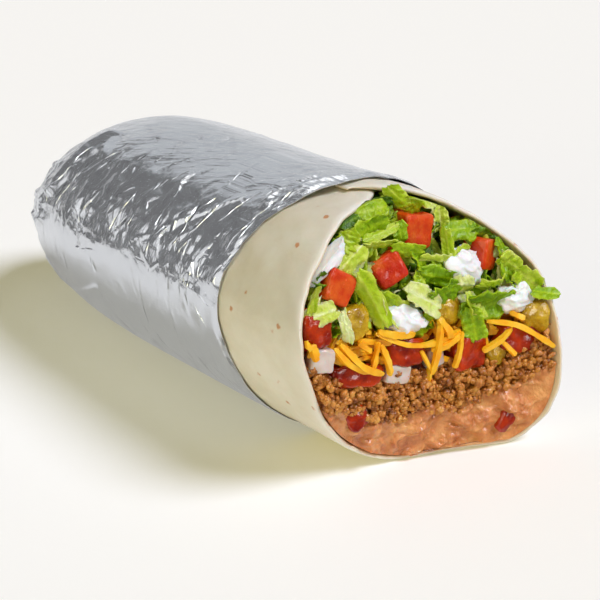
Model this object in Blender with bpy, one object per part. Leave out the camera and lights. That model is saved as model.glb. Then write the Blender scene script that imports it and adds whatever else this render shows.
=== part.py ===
"""A burrito cut open at one end, in its foil wrap.

Metres, +Z up. The roll lies along Y on its flat underside, with the cut mouth towards -Y and the
closed tail towards +Y. The origin is under the middle of the whole.

The foil, the tortilla and the filling are all made from one rule, skin_point, which gives the roll's
surface at any depth under it. The filling is one loft that wavy slabs part into layers, and each
piece that shows in the mouth sits in a pocket of its own shape, a gap away from its neighbours.
"""

import math

import bmesh
import bpy
from mathutils import Euler, Matrix, Vector, noise

# ---- driving dimensions ----
GAP = 0.0003  # left between pieces that touch
HALF_WIDTH = 0.0405  # of the roll at its mouth
HEIGHT = 0.075  # of the roll at its mouth
LENGTH = 0.205  # from the mouth's lowest point to the tail
TAIL_Y = 0.0997  # the tail's tip
TAIL_HEIGHT = 0.018  # the height at which the tail comes to its tip
CAP = 0.094  # length of the rounded tail end
CAP_POWER = 2.04  # superellipse of the tail in side view
TORTILLA = 0.0018  # wall of the tortilla
FOIL = 0.0005  # wall of the foil
FILLED_TO = 0.0890  # the filling ends here, and folded tortilla fills the rest of the tail

# ---- shape of the section ----
BELLY = 0.59  # height of the widest place, as a part of the whole height
UPPER_POWER = 1.62  # superellipse of the domed top
LOWER_POWER = 2.43  # superellipse of the squarer bottom
ROUNDING = math.radians(10)  # the section is rounded over this much turn
FLAT_CUT = 0.001  # how far the bottom is flattened by the surface it rests on
LEAN = -0.14  # sideways lean of the mouth
SQUAT = -0.14  # sag of the mouth towards +X
SQUAT_WIDTH = 0.020  # the sag eases in over this much of the section's x
NARROWING = 0.02  # loss of width from mouth to tail
LOWERING = 0.064  # loss of height from mouth to tail
DRIFT = 0.04  # the axis drifts to +X along the roll
SETTLE_RUN = 0.045  # behind the mouth the section turns into the roll's own in this length
AXIS_X = -0.00253  # middle of the mouth, so that the whole is centred on the origin

# ---- the slanted, gently curved cut of the mouth ----
CUT_Y = -0.0833  # at the mouth's middle
CUT_MID_Z = 0.036
CUT_TURN = -0.1383  # slope across
CUT_SLOPE = 0.1342  # slope up
CUT_BOW_Z = 0.00495  # curve of the cut, at the top and bottom
CUT_BOW_X = -0.00745  # at the two sides
CUT_TWIST = 0.00594  # at the corners
FACE_SET_BACK = 0.001  # filling behind the tortilla's edge
FACE_BULGE = 0.0025  # and its bulge at the middle
FACE_BUMP = 0.0012  # uneven height of the cut filling
BUMPS_PER_METRE = 160.0
BUMP_EDGE = 0.02  # the bumps stop at this part of the bulge, short of the tortilla

# ---- lofting ----
SIDES = 28
MOUTH_STEPS = (0.0, 0.35, 0.7)  # rings from the mouth to the foil's edge
EDGE_STEPS = (0.0, 0.5, 1.0)  # rings from the foil's edge to the straight stretch
STRAIGHT_FROM = -0.0458
STRAIGHT_STEPS = 2
CAP_STEPS = 6
TIP_RING = 0.06  # the last ring's size, as a part of the full section
FACE_RINGS = (0.3, 0.6, 0.85)  # rings of the cut filling, as parts of its rim
SEAM_MERGE = 0.000001
SLIVER = 0.000002  # shorter edges are dissolved after a cut
SHARP = math.radians(40)

# ---- the edge of the foil ----
EDGE_Y = -0.0508
EDGE_SWAY = 0.006  # the edge reaches further forward on the +X side
EDGE_PEAK = 0.009  # and once more at the top
PEAK_ANGLE = math.radians(88)
PEAK_WIDTH = math.radians(34)
LIFT_FROM = -0.0828  # ahead of this the tortilla rests on the surface, behind it on the foil
LIFT_RUN = 0.022

# ---- the rolled sheet's overlap, seen at the top of the mouth ----
LAP_ANGLE = math.radians(97)  # where the slit opens at the sheet's outside
LAP_TURN = math.radians(20)  # it sinks through the sheet over this turn
LAP_REACH = 0.030  # its length along the roll
LAP_SLIT = 0.00035  # its width
LAP_STEPS = (0.0, 0.2, 0.4, 0.7, 1.0)
LAP_AHEAD = 0.2  # this part of its length is ahead of the mouth
LAP_FALL = 0.6  # it sinks faster at first
LAP_ABOVE = 0.4  # it starts this part of the sheet's wall above the sheet

# ---- layers: height at the middle, tilt and sag of each upper surface ----
# The sag is per metre: height gained with the square of the distance from the middle.
LAYERS = (
    ("refried_beans", 0.0148, -0.08, 7.2),
    ("ground_beef", 0.0260, -0.08, 5.5),
    ("salsa", 0.0333, -0.12, 4.2),
    ("shredded_cheese", 0.0388, -0.15, 3.5),
    ("lettuce", None, 0.0, 0.0),
)
LAYER_WAVE = 0.0009  # height of a layer's waves
WAVES_ACROSS = 420.0  # radians per metre
WAVES_ALONG = 170.0
LEAST_SQUEEZE = 0.3  # the layers are drawn in to no less than this in the tail
SLAB_STEPS = (7, 8)
SLAB_HALF = 0.048
SLAB_ENDS = 0.55 * LENGTH
SLAB_FLOOR = -0.01
SLAB_ROOF = 2.0 * HEIGHT

# ---- pieces ----
CORNER_WOBBLE = 0.12  # of a block's size
BLOCK_BEVEL = 0.16  # of its smallest side
LUMP_SWELL = 0.25  # unevenness of a dollop, as a part of its radius
LUMP_SCALE = 1.6
NOD = 0.35  # radians a piece may nod out of the cut face

LOOKS = {
    "foil": ((0.72, 0.74, 0.76), 0.25, 1.0),
    "tortilla": ((0.70, 0.64, 0.50), 0.75, 0.0),
    "beans": ((0.42, 0.20, 0.12), 0.35, 0.0),
    "beef": ((0.25, 0.10, 0.04), 0.45, 0.0),
    "salsa": ((0.45, 0.07, 0.02), 0.25, 0.0),
    "cheese": ((0.95, 0.50, 0.05), 0.45, 0.0),
    "lettuce": ((0.25, 0.48, 0.05), 0.45, 0.0),
    "tomato": ((0.75, 0.12, 0.04), 0.30, 0.0),
    "cream": ((0.92, 0.91, 0.87), 0.40, 0.0),
    "chile": ((0.40, 0.36, 0.05), 0.25, 0.0),
    "onion": ((0.80, 0.74, 0.68), 0.30, 0.0),
}


def clear_scene():
    for old in list(bpy.data.objects):
        bpy.data.objects.remove(old, do_unlink=True)


def make_material(name):
    colour, roughness, metallic = LOOKS[name]
    material = bpy.data.materials.new(name)
    material.use_nodes = True
    shader = material.node_tree.nodes["Principled BSDF"]
    shader.inputs["Base Color"].default_value = (*colour, 1.0)
    shader.inputs["Roughness"].default_value = roughness
    shader.inputs["Metallic"].default_value = metallic
    return material


def add_object(name, bm, look=None):
    """Makes a node of the bmesh, or a hidden cutter where it has no look."""
    bmesh.ops.recalc_face_normals(bm, faces=bm.faces)
    mesh = bpy.data.meshes.new(name)
    bm.to_mesh(mesh)
    bm.free()
    obj = bpy.data.objects.new(name, mesh)
    bpy.context.scene.collection.objects.link(obj)
    if look:
        mesh.materials.append(MATERIALS[look])
        mesh.shade_smooth()
        mesh.set_sharp_from_angle(angle=SHARP)
    else:
        obj.hide_render = True
        obj.display_type = "WIRE"
    return obj


def boolean(obj, other, operation):
    modifier = obj.modifiers.new(f"{operation.lower()} {other.name}", "BOOLEAN")
    modifier.operation = operation
    modifier.object = other


def face_bodies(bm):
    """The faces of each body, found by walking over shared edges."""
    left = set(bm.faces)
    bodies = []
    while left:
        body = [left.pop()]
        for face in body:
            near = {other for edge in face.edges for other in edge.link_faces} & left
            left -= near
            body.extend(near)
        bodies.append(body)
    return bodies


def drop_crumbs(obj):
    """Applies an object's cuts, and deletes the slivers that they have cut free of its main body."""
    graph = bpy.context.evaluated_depsgraph_get()
    mesh = bpy.data.meshes.new_from_object(obj.evaluated_get(graph))
    obj.modifiers.clear()
    obj.data = mesh
    bm = bmesh.new()
    bm.from_mesh(mesh)
    bmesh.ops.dissolve_degenerate(bm, dist=SLIVER, edges=bm.edges)
    bodies = sorted(face_bodies(bm), key=len)
    crumbs = [face for body in bodies[:-1] for face in body]
    bmesh.ops.delete(bm, geom=crumbs, context="FACES")
    bm.to_mesh(mesh)
    bm.free()


# ---- the roll's surface ----


def smooth_step(t):
    t = min(max(t, 0.0), 1.0)
    return t * t * (3.0 - 2.0 * t)


def power(value, exponent):
    return math.copysign(abs(value) ** exponent, value)


def sharp_section_point(angle, along, inset):
    """Two half superellipses, leaning and sagging. It has a slight corner at the belly."""
    half = HALF_WIDTH * (1.0 - NARROWING * along) - inset
    tall = HEIGHT * (1.0 - LOWERING * along) + FLAT_CUT - 2.0 * inset
    upper = math.sin(angle) >= 0.0
    exponent = 2.0 / (UPPER_POWER if upper else LOWER_POWER)
    low = inset - FLAT_CUT
    belly = low + tall * BELLY
    x = half * power(math.cos(angle), exponent)
    rise = abs(math.sin(angle)) ** exponent
    z = belly + tall * (1.0 - BELLY) * rise if upper else belly - tall * BELLY * rise
    x += LEAN * (z - belly) * (1.0 - along)
    if z < belly:
        z += SQUAT * x * (1.0 - along) * smooth_step(abs(x) / SQUAT_WIDTH)
    return Vector((x, 0.0, z))


def section_point(angle, along, inset):
    """The section's x and z at an angle from +X, along 0 at the mouth and 1 at the tail."""
    before, here, after = (
        sharp_section_point(angle + turn, along, inset) for turn in (-ROUNDING, 0.0, ROUNDING)
    )
    point = (before + 2.0 * here + after) / 4.0
    return point.x, max(point.z, inset)


def cut_y(x, z):
    """The cut of the mouth over the section's own x and z."""
    u = (z - CUT_MID_Z) / CUT_MID_Z
    v = x / HALF_WIDTH
    flat = CUT_Y + CUT_TURN * x + CUT_SLOPE * (z - CUT_MID_Z)
    return flat + CUT_BOW_Z * u * u + CUT_BOW_X * v * v + CUT_TWIST * u * v


def mouth_y(angle):
    return cut_y(*section_point(angle, 0.0, 0.0))


def scale_at(y, inset):
    """How far the rounded tail has closed the section at y."""
    r = (y - (TAIL_Y - CAP)) / (CAP - inset)
    return (1.0 - min(max(r, 0.0), 1.0) ** CAP_POWER) ** (1.0 / CAP_POWER)


def lift_at(y):
    return (FOIL + GAP) * smooth_step((y - LIFT_FROM) / LIFT_RUN)


def skin_point(angle, y, inset):
    """A point of the roll's surface, inset below it. A negative inset is outside it."""
    behind = y - mouth_y(angle)
    along = (y - TAIL_Y + LENGTH) / LENGTH * smooth_step(behind / SETTLE_RUN)
    x, z = section_point(angle, along, inset)
    scale = scale_at(y, inset)
    z = TAIL_HEIGHT + (z - TAIL_HEIGHT) * scale
    floor = lift_at(y) + inset
    return Vector((x * scale + DRIFT * behind + AXIS_X, y, max(z, floor)))


def angles():
    return [2.0 * math.pi * (side + 0.5) / SIDES for side in range(SIDES)]


def foil_edge_y(angle):
    off_peak = (angle - PEAK_ANGLE + math.pi) % (2.0 * math.pi) - math.pi
    peak = math.exp(-((off_peak / PEAK_WIDTH) ** 2))
    return EDGE_Y - EDGE_SWAY * (1.0 + math.cos(angle)) - EDGE_PEAK * peak


def skin_rings(inset, start_y=None, end_y=None):
    """Rings of points from the foil's edge, or from start_y(angle) ahead of it, to the tail's tip.

    The rings behind the foil's edge are the same at every depth, so that neighbours keep their gap.
    With end_y they stop short, at a blunt end.
    """
    spans = [(foil_edge_y, lambda angle: STRAIGHT_FROM, step) for step in EDGE_STEPS]
    if start_y:
        spans = [(start_y, foil_edge_y, step) for step in MOUTH_STEPS] + spans
    rings = [
        [skin_point(a, near(a) + (far(a) - near(a)) * step, inset) for a in angles()]
        for near, far, step in spans
    ]
    cap_start = TAIL_Y - CAP
    stations = [
        STRAIGHT_FROM + (cap_start - STRAIGHT_FROM) * k / STRAIGHT_STEPS
        for k in range(1, STRAIGHT_STEPS + 1)
    ]
    last = TIP_RING if end_y is None else scale_at(end_y, inset)
    turn = math.acos(last ** (CAP_POWER / 2.0))
    for k in range(1, CAP_STEPS + 1):
        r = math.sin(turn * k / CAP_STEPS) ** (2.0 / CAP_POWER)
        stations.append(cap_start + (CAP - inset) * r)
    return rings + [[skin_point(a, y, inset) for a in angles()] for y in stations]


def loft(rings):
    """A bmesh grid laid over the rings of points, joined up round each ring and closed at both ends."""
    count = len(rings[0])
    bm = bmesh.new()
    bmesh.ops.create_grid(bm, x_segments=count, y_segments=len(rings) - 1, size=1.0)
    for index, vert in enumerate(bm.verts):
        row, column = divmod(index, count + 1)
        vert.co = rings[row][column % count]
    bmesh.ops.remove_doubles(bm, verts=bm.verts, dist=SEAM_MERGE)
    bmesh.ops.holes_fill(bm, edges=[edge for edge in bm.edges if edge.is_boundary])
    # Flat facets, cut the same way at every depth, so that a Boolean leaves their surfaces alone.
    bmesh.ops.triangulate(bm, faces=bm.faces, quad_method="FIXED")
    return bm


def make_shell(name, look, outer, inner, start_y=None, inner_end=None):
    """A skin from depth outer to depth inner, open at its front edge and closed at the tail."""
    outside = skin_rings(outer, start_y)
    inside = skin_rings(inner, start_y, inner_end)
    return add_object(name, loft(outside[::-1] + inside), look)


def make_lap_slit():
    """A thin curved cutter that parts the sheet's outer edge from the layer that it lies on."""
    rings = []
    for reach in LAP_STEPS:
        upper, lower = [], []
        for turned in LAP_STEPS:
            angle = LAP_ANGLE - LAP_TURN * turned
            y = mouth_y(angle) + LAP_REACH * (reach - LAP_AHEAD)
            depth = TORTILLA * (turned**LAP_FALL - LAP_ABOVE)
            upper.append(skin_point(angle, y, depth))
            lower.append(skin_point(angle, y, depth + LAP_SLIT))
        rings.append(upper + lower[::-1])
    return add_object("lap_slit", loft(rings))


# ---- the filling ----


def face_y(x, z):
    """The filling's front in the mouth, over world x and z."""
    across = (x - AXIS_X) / HALF_WIDTH
    up = (z - CUT_MID_Z) / CUT_MID_Z
    middle = max(0.0, 1.0 - across * across - up * up)
    bumps = FACE_BUMP * noise.noise(Vector((x, z, 0.0)) * BUMPS_PER_METRE) * (middle > BUMP_EDGE)
    return cut_y(x - AXIS_X, z) + FACE_SET_BACK - FACE_BULGE * middle + bumps


def make_filling_mesh():
    """The whole filling under the tortilla: the loft of its skin, closed by the uneven cut face."""
    inset = TORTILLA + GAP
    rings = skin_rings(inset, lambda a: mouth_y(a) + FACE_SET_BACK, FILLED_TO - GAP)
    rim = rings[0]
    middle = Vector((AXIS_X, 0.0, CUT_MID_Z))
    face = []
    for size in FACE_RINGS:
        ring = []
        for point in rim:
            x = middle.x + (point.x - middle.x) * size
            z = middle.z + (point.z - middle.z) * size
            ring.append(Vector((x, face_y(x, z), z)))
        face.append(ring)
    return loft(face + rings)


def squeeze(y):
    """Middle and scale of the layers at y, which the closing tail draws in."""
    return AXIS_X + DRIFT * max(0.0, y - CUT_Y), max(scale_at(y, TORTILLA), LEAST_SQUEEZE)


def boundary_z(x, y, layer):
    """Height of a layer's wavy upper surface."""
    _, middle, tilt, sag = layer
    axis, scale = squeeze(y)
    across = (x - axis) / scale
    level = middle + tilt * across + sag * across * across
    # The layer's own height shifts its waves, so that no two layers wave alike.
    wave = math.sin(x * WAVES_ACROSS + middle * 900.0) * math.cos(y * WAVES_ALONG + middle * 300.0)
    level += LAYER_WAVE * wave
    return TAIL_HEIGHT + (level - TAIL_HEIGHT) * scale


def make_slab(name, below, above):
    """A cutter that holds what lies between two layer boundaries; None leaves that side open."""
    bm = bmesh.new()
    bmesh.ops.create_grid(bm, x_segments=SLAB_STEPS[0], y_segments=SLAB_STEPS[1], size=1.0)
    bmesh.ops.scale(bm, vec=(SLAB_HALF, SLAB_ENDS, 1.0), verts=bm.verts)
    # Cut in triangles first, so that the roof of one slab matches the floor of the next.
    bmesh.ops.triangulate(bm, faces=bm.faces, quad_method="FIXED")
    grown = bmesh.ops.extrude_face_region(bm, geom=bm.faces[:])
    top = {v for v in grown["geom"] if isinstance(v, bmesh.types.BMVert)}
    for vert in bm.verts:
        axis, scale = squeeze(vert.co.y)
        vert.co.x = axis + vert.co.x * scale
        x, y, _ = vert.co
        if vert in top:
            vert.co.z = boundary_z(x, y, above) - GAP / 2 if above[1] else SLAB_ROOF
        else:
            vert.co.z = boundary_z(x, y, below) + GAP / 2 if below else SLAB_FLOOR
    return add_object(name, bm)


# ---- the pieces in the mouth ----


def uneven(first, second):
    """A small vector that differs from piece to piece but not from run to run."""
    return Vector([noise.noise(Vector((first, second, 0.5 + 7.3 * axis))) for axis in range(3)])


def block(width, height, depth, grow, seed):
    """A knife-cut block with softened edges and slightly uneven corners."""
    bm = bmesh.new()
    bmesh.ops.create_cube(bm, size=1.0)
    for k, vert in enumerate(bm.verts):
        vert.co += uneven(k * 1.7, seed * 3.1) * CORNER_WOBBLE
        vert.co = Vector(
            (
                vert.co.x * width + math.copysign(grow, vert.co.x),
                vert.co.y * depth + math.copysign(grow, vert.co.y),
                vert.co.z * height + math.copysign(grow, vert.co.z),
            )
        )
    bmesh.ops.bevel(
        bm,
        geom=bm.edges[:],
        offset=BLOCK_BEVEL * min(width, height, depth),
        affect="EDGES",
        segments=1,
        profile=0.5,
        material=-1,
    )
    # The hull of its points has flat facets only, so that its pocket is clean.
    bmesh.ops.delete(bm, geom=bm.faces[:] + bm.edges[:], context="EDGES_FACES")
    hull = bmesh.ops.convex_hull(bm, input=bm.verts)
    bmesh.ops.delete(bm, geom=list(set(hull["geom_interior"] + hull["geom_unused"])), context="VERTS")
    return bm


def dollop(width, height, depth, grow, seed):
    """A soft lump with an uneven outline."""
    bm = bmesh.new()
    bmesh.ops.create_icosphere(bm, subdivisions=2, radius=1.0)
    for vert in bm.verts:
        swell = 1.0 + LUMP_SWELL * noise.noise(vert.co * LUMP_SCALE + Vector((seed, 0.0, 0.0)))
        normal = vert.co.normalized()
        vert.co = Vector(
            (
                vert.co.x * swell * width / 2,
                vert.co.y * swell * depth / 2,
                vert.co.z * swell * height / 2,
            )
        )
        vert.co += normal * grow
    return bm


# Each piece: name, shape, look, x and z in the mouth in metres, then width, height and depth in
# millimetres, turn in degrees, and how far it stands out of the cut face in millimetres.
PIECES = (
    ("tomato_dice_1", block, "tomato", 0.0002, 0.0633, 9.3, 9.3, 9.0, 4, 1.8),
    ("tomato_dice_2", block, "tomato", -0.0086, 0.0552, 7.4, 7.4, 7.5, 43, 1.8),
    ("tomato_dice_3", block, "tomato", -0.0250, 0.0538, 6.3, 6.3, 7.0, -24, 1.6),
    ("tomato_dice_4", block, "tomato", 0.0200, 0.0548, 8.4, 8.4, 8.5, 12, 1.4),
    ("sour_cream_1", dollop, "cream", -0.0292, 0.0592, 4.0, 8.6, 5.0, -38, 1.4),
    ("sour_cream_2", dollop, "cream", 0.0105, 0.0516, 8.8, 7.2, 6.0, 30, 2.2),
    ("sour_cream_3", dollop, "cream", 0.0255, 0.0442, 9.0, 6.0, 6.0, -10, 2.0),
    ("sour_cream_4", dollop, "cream", -0.0067, 0.0421, 9.0, 7.2, 6.0, 20, 2.0),
    ("green_chile_1", block, "chile", -0.0221, 0.0449, 7.6, 7.8, 6.0, 14, 1.8),
    ("green_chile_2", block, "chile", 0.0083, 0.0408, 7.6, 7.4, 6.0, -12, 1.6),
    ("green_chile_3", block, "chile", 0.0303, 0.0368, 7.2, 7.2, 6.5, 20, 1.8),
    ("green_chile_4", block, "chile", 0.0206, 0.0268, 5.6, 5.6, 5.5, 30, 1.6),
    ("green_chile_5", block, "chile", 0.0175, 0.0358, 4.8, 4.8, 5.0, 0, 1.2),
    ("salsa_tomato_1", block, "salsa", -0.0350, 0.0466, 7.0, 7.0, 7.0, 8, 1.4),
    ("salsa_tomato_2", block, "salsa", -0.0222, 0.0306, 14.0, 5.0, 6.0, 6, 1.6),
    ("salsa_tomato_3", block, "salsa", -0.0063, 0.0340, 10.6, 5.8, 6.0, 14, 1.6),
    ("salsa_tomato_4", block, "salsa", 0.0124, 0.0278, 8.8, 8.0, 7.0, -6, 2.0),
    ("salsa_tomato_5", block, "salsa", 0.0298, 0.0282, 9.4, 5.6, 6.0, 12, 1.8),
    ("onion_dice_1", block, "onion", -0.0338, 0.0382, 6.4, 5.8, 6.0, 10, 1.6),
    ("onion_dice_2", block, "onion", 0.0028, 0.0294, 4.2, 4.4, 4.5, 0, 1.2),
    ("onion_dice_3", block, "onion", -0.0094, 0.0264, 6.0, 4.4, 5.0, 10, 1.0),
    ("bean_tomato_1", block, "salsa", -0.0210, 0.0178, 5.8, 5.6, 5.0, 20, 1.3),
    ("bean_tomato_2", block, "salsa", 0.0230, 0.0106, 4.4, 9.4, 5.0, 28, 1.5),
)


def piece_matrix(x, z, depth, turn, stand_out, seed):
    """Seats a piece in the cut face, its top turned towards -X and nodding a little."""
    nod = uneven(seed * 2.3, 1.0) * NOD
    y = face_y(x, z) + depth / 2 - stand_out
    turned = Euler((nod.x, math.radians(-turn), nod.z)).to_matrix().to_4x4()
    return Matrix.Translation((x, y, z)) @ turned


def make_pieces():
    """The pieces, and one cutter that holds all their pockets."""
    pockets = bmesh.new()
    for index, entry in enumerate(PIECES):
        name, shape, look, x, z, width, height, depth, turn, stand_out = entry
        sizes = (width / 1000, height / 1000, depth / 1000)
        place = piece_matrix(x, z, sizes[2], turn, stand_out / 1000, index)
        piece = add_object(name, shape(*sizes, 0.0, index), look)
        piece.matrix_world = place
        grown = add_object(f"{name}_pocket", shape(*sizes, GAP, index))
        grown.data.transform(place)
        pockets.from_mesh(grown.data)
        bpy.data.objects.remove(grown)
    return add_object("pockets", pockets)


def make_layers(pockets):
    below = None
    for layer in LAYERS:
        name = layer[0]
        look = name.split("_")[-1]
        obj = add_object(name, make_filling_mesh(), look)
        boolean(obj, make_slab(f"{name}_slab", below, layer), "INTERSECT")
        boolean(obj, pockets, "DIFFERENCE")
        drop_crumbs(obj)
        below = layer


clear_scene()
MATERIALS = {name: make_material(name) for name in LOOKS}

make_shell("foil_wrap", "foil", -(FOIL + GAP), -GAP)
tortilla = make_shell("tortilla", "tortilla", 0.0, TORTILLA, mouth_y, FILLED_TO)
boolean(tortilla, make_lap_slit(), "DIFFERENCE")

make_layers(make_pieces())
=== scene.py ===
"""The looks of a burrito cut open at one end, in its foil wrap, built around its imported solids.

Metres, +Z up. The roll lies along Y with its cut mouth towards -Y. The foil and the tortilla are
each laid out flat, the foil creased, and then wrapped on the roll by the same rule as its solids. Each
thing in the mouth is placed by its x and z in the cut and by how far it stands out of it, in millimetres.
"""

import math
import random

import bmesh
import bpy
import numpy as np
from mathutils import Euler, Matrix, Vector, noise


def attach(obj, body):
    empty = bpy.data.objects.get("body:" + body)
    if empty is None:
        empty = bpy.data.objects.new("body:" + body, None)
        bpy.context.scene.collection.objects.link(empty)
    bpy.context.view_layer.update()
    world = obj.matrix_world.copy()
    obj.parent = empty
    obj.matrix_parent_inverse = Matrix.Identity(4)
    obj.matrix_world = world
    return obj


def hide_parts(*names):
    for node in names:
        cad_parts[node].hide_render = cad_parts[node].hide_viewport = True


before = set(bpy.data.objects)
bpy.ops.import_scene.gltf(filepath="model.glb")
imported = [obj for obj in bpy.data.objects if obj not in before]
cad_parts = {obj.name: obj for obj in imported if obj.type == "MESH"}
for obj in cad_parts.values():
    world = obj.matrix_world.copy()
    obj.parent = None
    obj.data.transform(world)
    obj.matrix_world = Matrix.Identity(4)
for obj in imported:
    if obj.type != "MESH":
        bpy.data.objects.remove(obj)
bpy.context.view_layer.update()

MM = 0.001

# ---- the roll's rule, the same as its solids' ----
HALF_WIDTH = 0.0405
HEIGHT = 0.075
LENGTH = 0.205
TAIL_Y = 0.0997
TAIL_HEIGHT = 0.018
CAP = 0.094
CAP_POWER = 2.04
CAP_ARC = 1.15  # length of the tail's curve, as a part of its reach along Y
BELLY = 0.59
UPPER_POWER = 1.62
LOWER_POWER = 2.43
ROUNDING = math.radians(10)
ROUNDING_STEPS = (
    (-1.5, 0.08), (-1.0, 0.15), (-0.5, 0.18), (0.0, 0.18), (0.5, 0.18), (1.0, 0.15), (1.5, 0.08)
)
FLAT_CUT = 0.001
LEAN = -0.14
SQUAT = -0.14
SQUAT_WIDTH = 0.020
SQUAT_FROM = 0.012  # how far below the belly the squat is whole
NARROWING = 0.02
LOWERING = 0.064
DRIFT = 0.04
SETTLE_RUN = 0.045
AXIS_X = -0.00253
CUT_Y = -0.0833
CUT_MID_Z = 0.036
CUT_TURN = -0.1383
CUT_SLOPE = 0.1342
CUT_BOW_Z = 0.00495
CUT_BOW_X = -0.00745
CUT_TWIST = 0.00594
FACE_SET_BACK = 0.001
FACE_BULGE = 0.0025
EDGE_Y = -0.0508
EDGE_SWAY = 0.006
EDGE_PEAK = 0.009
PEAK_ANGLE = math.radians(88)
PEAK_WIDTH = math.radians(34)
LIFT_FROM = -0.0828
LIFT_RUN = 0.022
FOIL_LIFT = 0.0008  # the foil and its gap, which the roll lies on
TORTILLA = 0.0018
INNER_WALL = 0.0019  # depth of the filling under the tortilla's skin

# ---- the view ----
CAMERA_AT = (-0.24449, -0.32974, 0.18598)
CAMERA_TO = (-0.00787, -0.04359, 0.0350)
LENS = 87.0

# ---- the roll's surface ----


def smooth_step(t):
    t = min(max(t, 0.0), 1.0)
    return t * t * (3.0 - 2.0 * t)


def power(value, exponent):
    return math.copysign(abs(value) ** exponent, value)


def blend(first, second, share):
    return first + (second - first) * share


def sharp_section_point(angle, along, inset):
    half = HALF_WIDTH * (1.0 - NARROWING * along) - inset
    tall = HEIGHT * (1.0 - LOWERING * along) + FLAT_CUT - 2.0 * inset
    sine = math.sin(angle)
    exponent = 2.0 / (UPPER_POWER if sine >= 0.0 else LOWER_POWER)
    belly = inset - FLAT_CUT + tall * BELLY
    x = half * power(math.cos(angle), exponent)
    rise = abs(sine) ** exponent
    z = belly + tall * (1.0 - BELLY) * rise if sine >= 0.0 else belly - tall * BELLY * rise
    x += LEAN * (z - belly) * (1.0 - along)
    if z < belly:
        below = smooth_step((belly - z) / SQUAT_FROM)
        z += SQUAT * x * (1.0 - along) * smooth_step(abs(x) / SQUAT_WIDTH) * below
    return x, z


def section_point(angle, along, inset):
    """The section's x and z at an angle from +X, along 0 at the mouth and 1 at the tail."""
    x = z = 0.0
    for turn, share in ROUNDING_STEPS:
        near = sharp_section_point(angle + turn * ROUNDING, along, inset)
        x += share * near[0]
        z += share * near[1]
    return x, max(z, inset)


def cut_y(x, z):
    """The cut of the mouth over the section's own x and z."""
    u = (z - CUT_MID_Z) / CUT_MID_Z
    v = x / HALF_WIDTH
    flat = CUT_Y + CUT_TURN * x + CUT_SLOPE * (z - CUT_MID_Z)
    return flat + CUT_BOW_Z * u * u + CUT_BOW_X * v * v + CUT_TWIST * u * v


def mouth_y(angle):
    return cut_y(*section_point(angle, 0.0, 0.0))


def foil_edge_y(angle):
    off_peak = (angle - PEAK_ANGLE + math.pi) % (2.0 * math.pi) - math.pi
    peak = math.exp(-((off_peak / PEAK_WIDTH) ** 2))
    return EDGE_Y - EDGE_SWAY * (1.0 + math.cos(angle)) - EDGE_PEAK * peak


def skin_point(angle, start_y, reach, inset):
    """A point inset below the roll's skin, at a reach from 0 at start_y to 1 at the tail's tip."""
    cap_start = TAIL_Y - CAP
    run = (CAP - inset) * CAP_ARC
    walked = reach * (cap_start - start_y + run)
    if walked <= cap_start - start_y:
        y, scale = start_y + walked, 1.0
    else:
        turn = min((walked - (cap_start - start_y)) / run, 1.0) * math.pi / 2.0
        y = cap_start + (CAP - inset) * math.sin(turn) ** (2.0 / CAP_POWER)
        scale = max(math.cos(turn), 0.0) ** (2.0 / CAP_POWER)
    behind = y - mouth_y(angle)
    along = (y - TAIL_Y + LENGTH) / LENGTH * smooth_step(behind / SETTLE_RUN)
    x, z = section_point(angle, along, inset)
    z = TAIL_HEIGHT + (z - TAIL_HEIGHT) * scale
    floor = FOIL_LIFT * smooth_step((y - LIFT_FROM) / LIFT_RUN) + inset
    return Vector((x * scale + DRIFT * behind + AXIS_X, y, max(z, floor)))


def face_y(x, z):
    """The filling's front in the mouth, over world x and z."""
    across = (x - AXIS_X) / HALF_WIDTH
    up = (z - CUT_MID_Z) / CUT_MID_Z
    middle = max(0.0, 1.0 - across * across - up * up)
    return cut_y(x - AXIS_X, z) + FACE_SET_BACK - FACE_BULGE * middle


# ---- finishes ----


class Shade:
    """What one socket gives over a surface, with the maths that can be done on it."""

    def __init__(self, finish, socket):
        self.finish = finish
        self.socket = socket

    def maths(self, operation, *values):
        inputs = dict(enumerate((self,) + values))
        return self.finish.node("ShaderNodeMath", {"operation": operation}, inputs)

    def __add__(self, other):
        return self.maths("ADD", other)

    __radd__ = __add__

    def __sub__(self, other):
        return self.maths("SUBTRACT", other)

    def __rsub__(self, other):
        return self.finish.node("ShaderNodeMath", {"operation": "SUBTRACT"}, {0: other, 1: self})

    def __mul__(self, other):
        return self.maths("MULTIPLY", other)

    __rmul__ = __mul__

    def step(self, low, high):
        """0 below low and 1 above high, and smooth between."""
        inputs = {"Value": self, "From Min": low, "From Max": high}
        return self.finish.node("ShaderNodeMapRange", {"interpolation_type": "SMOOTHSTEP"}, inputs)


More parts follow.
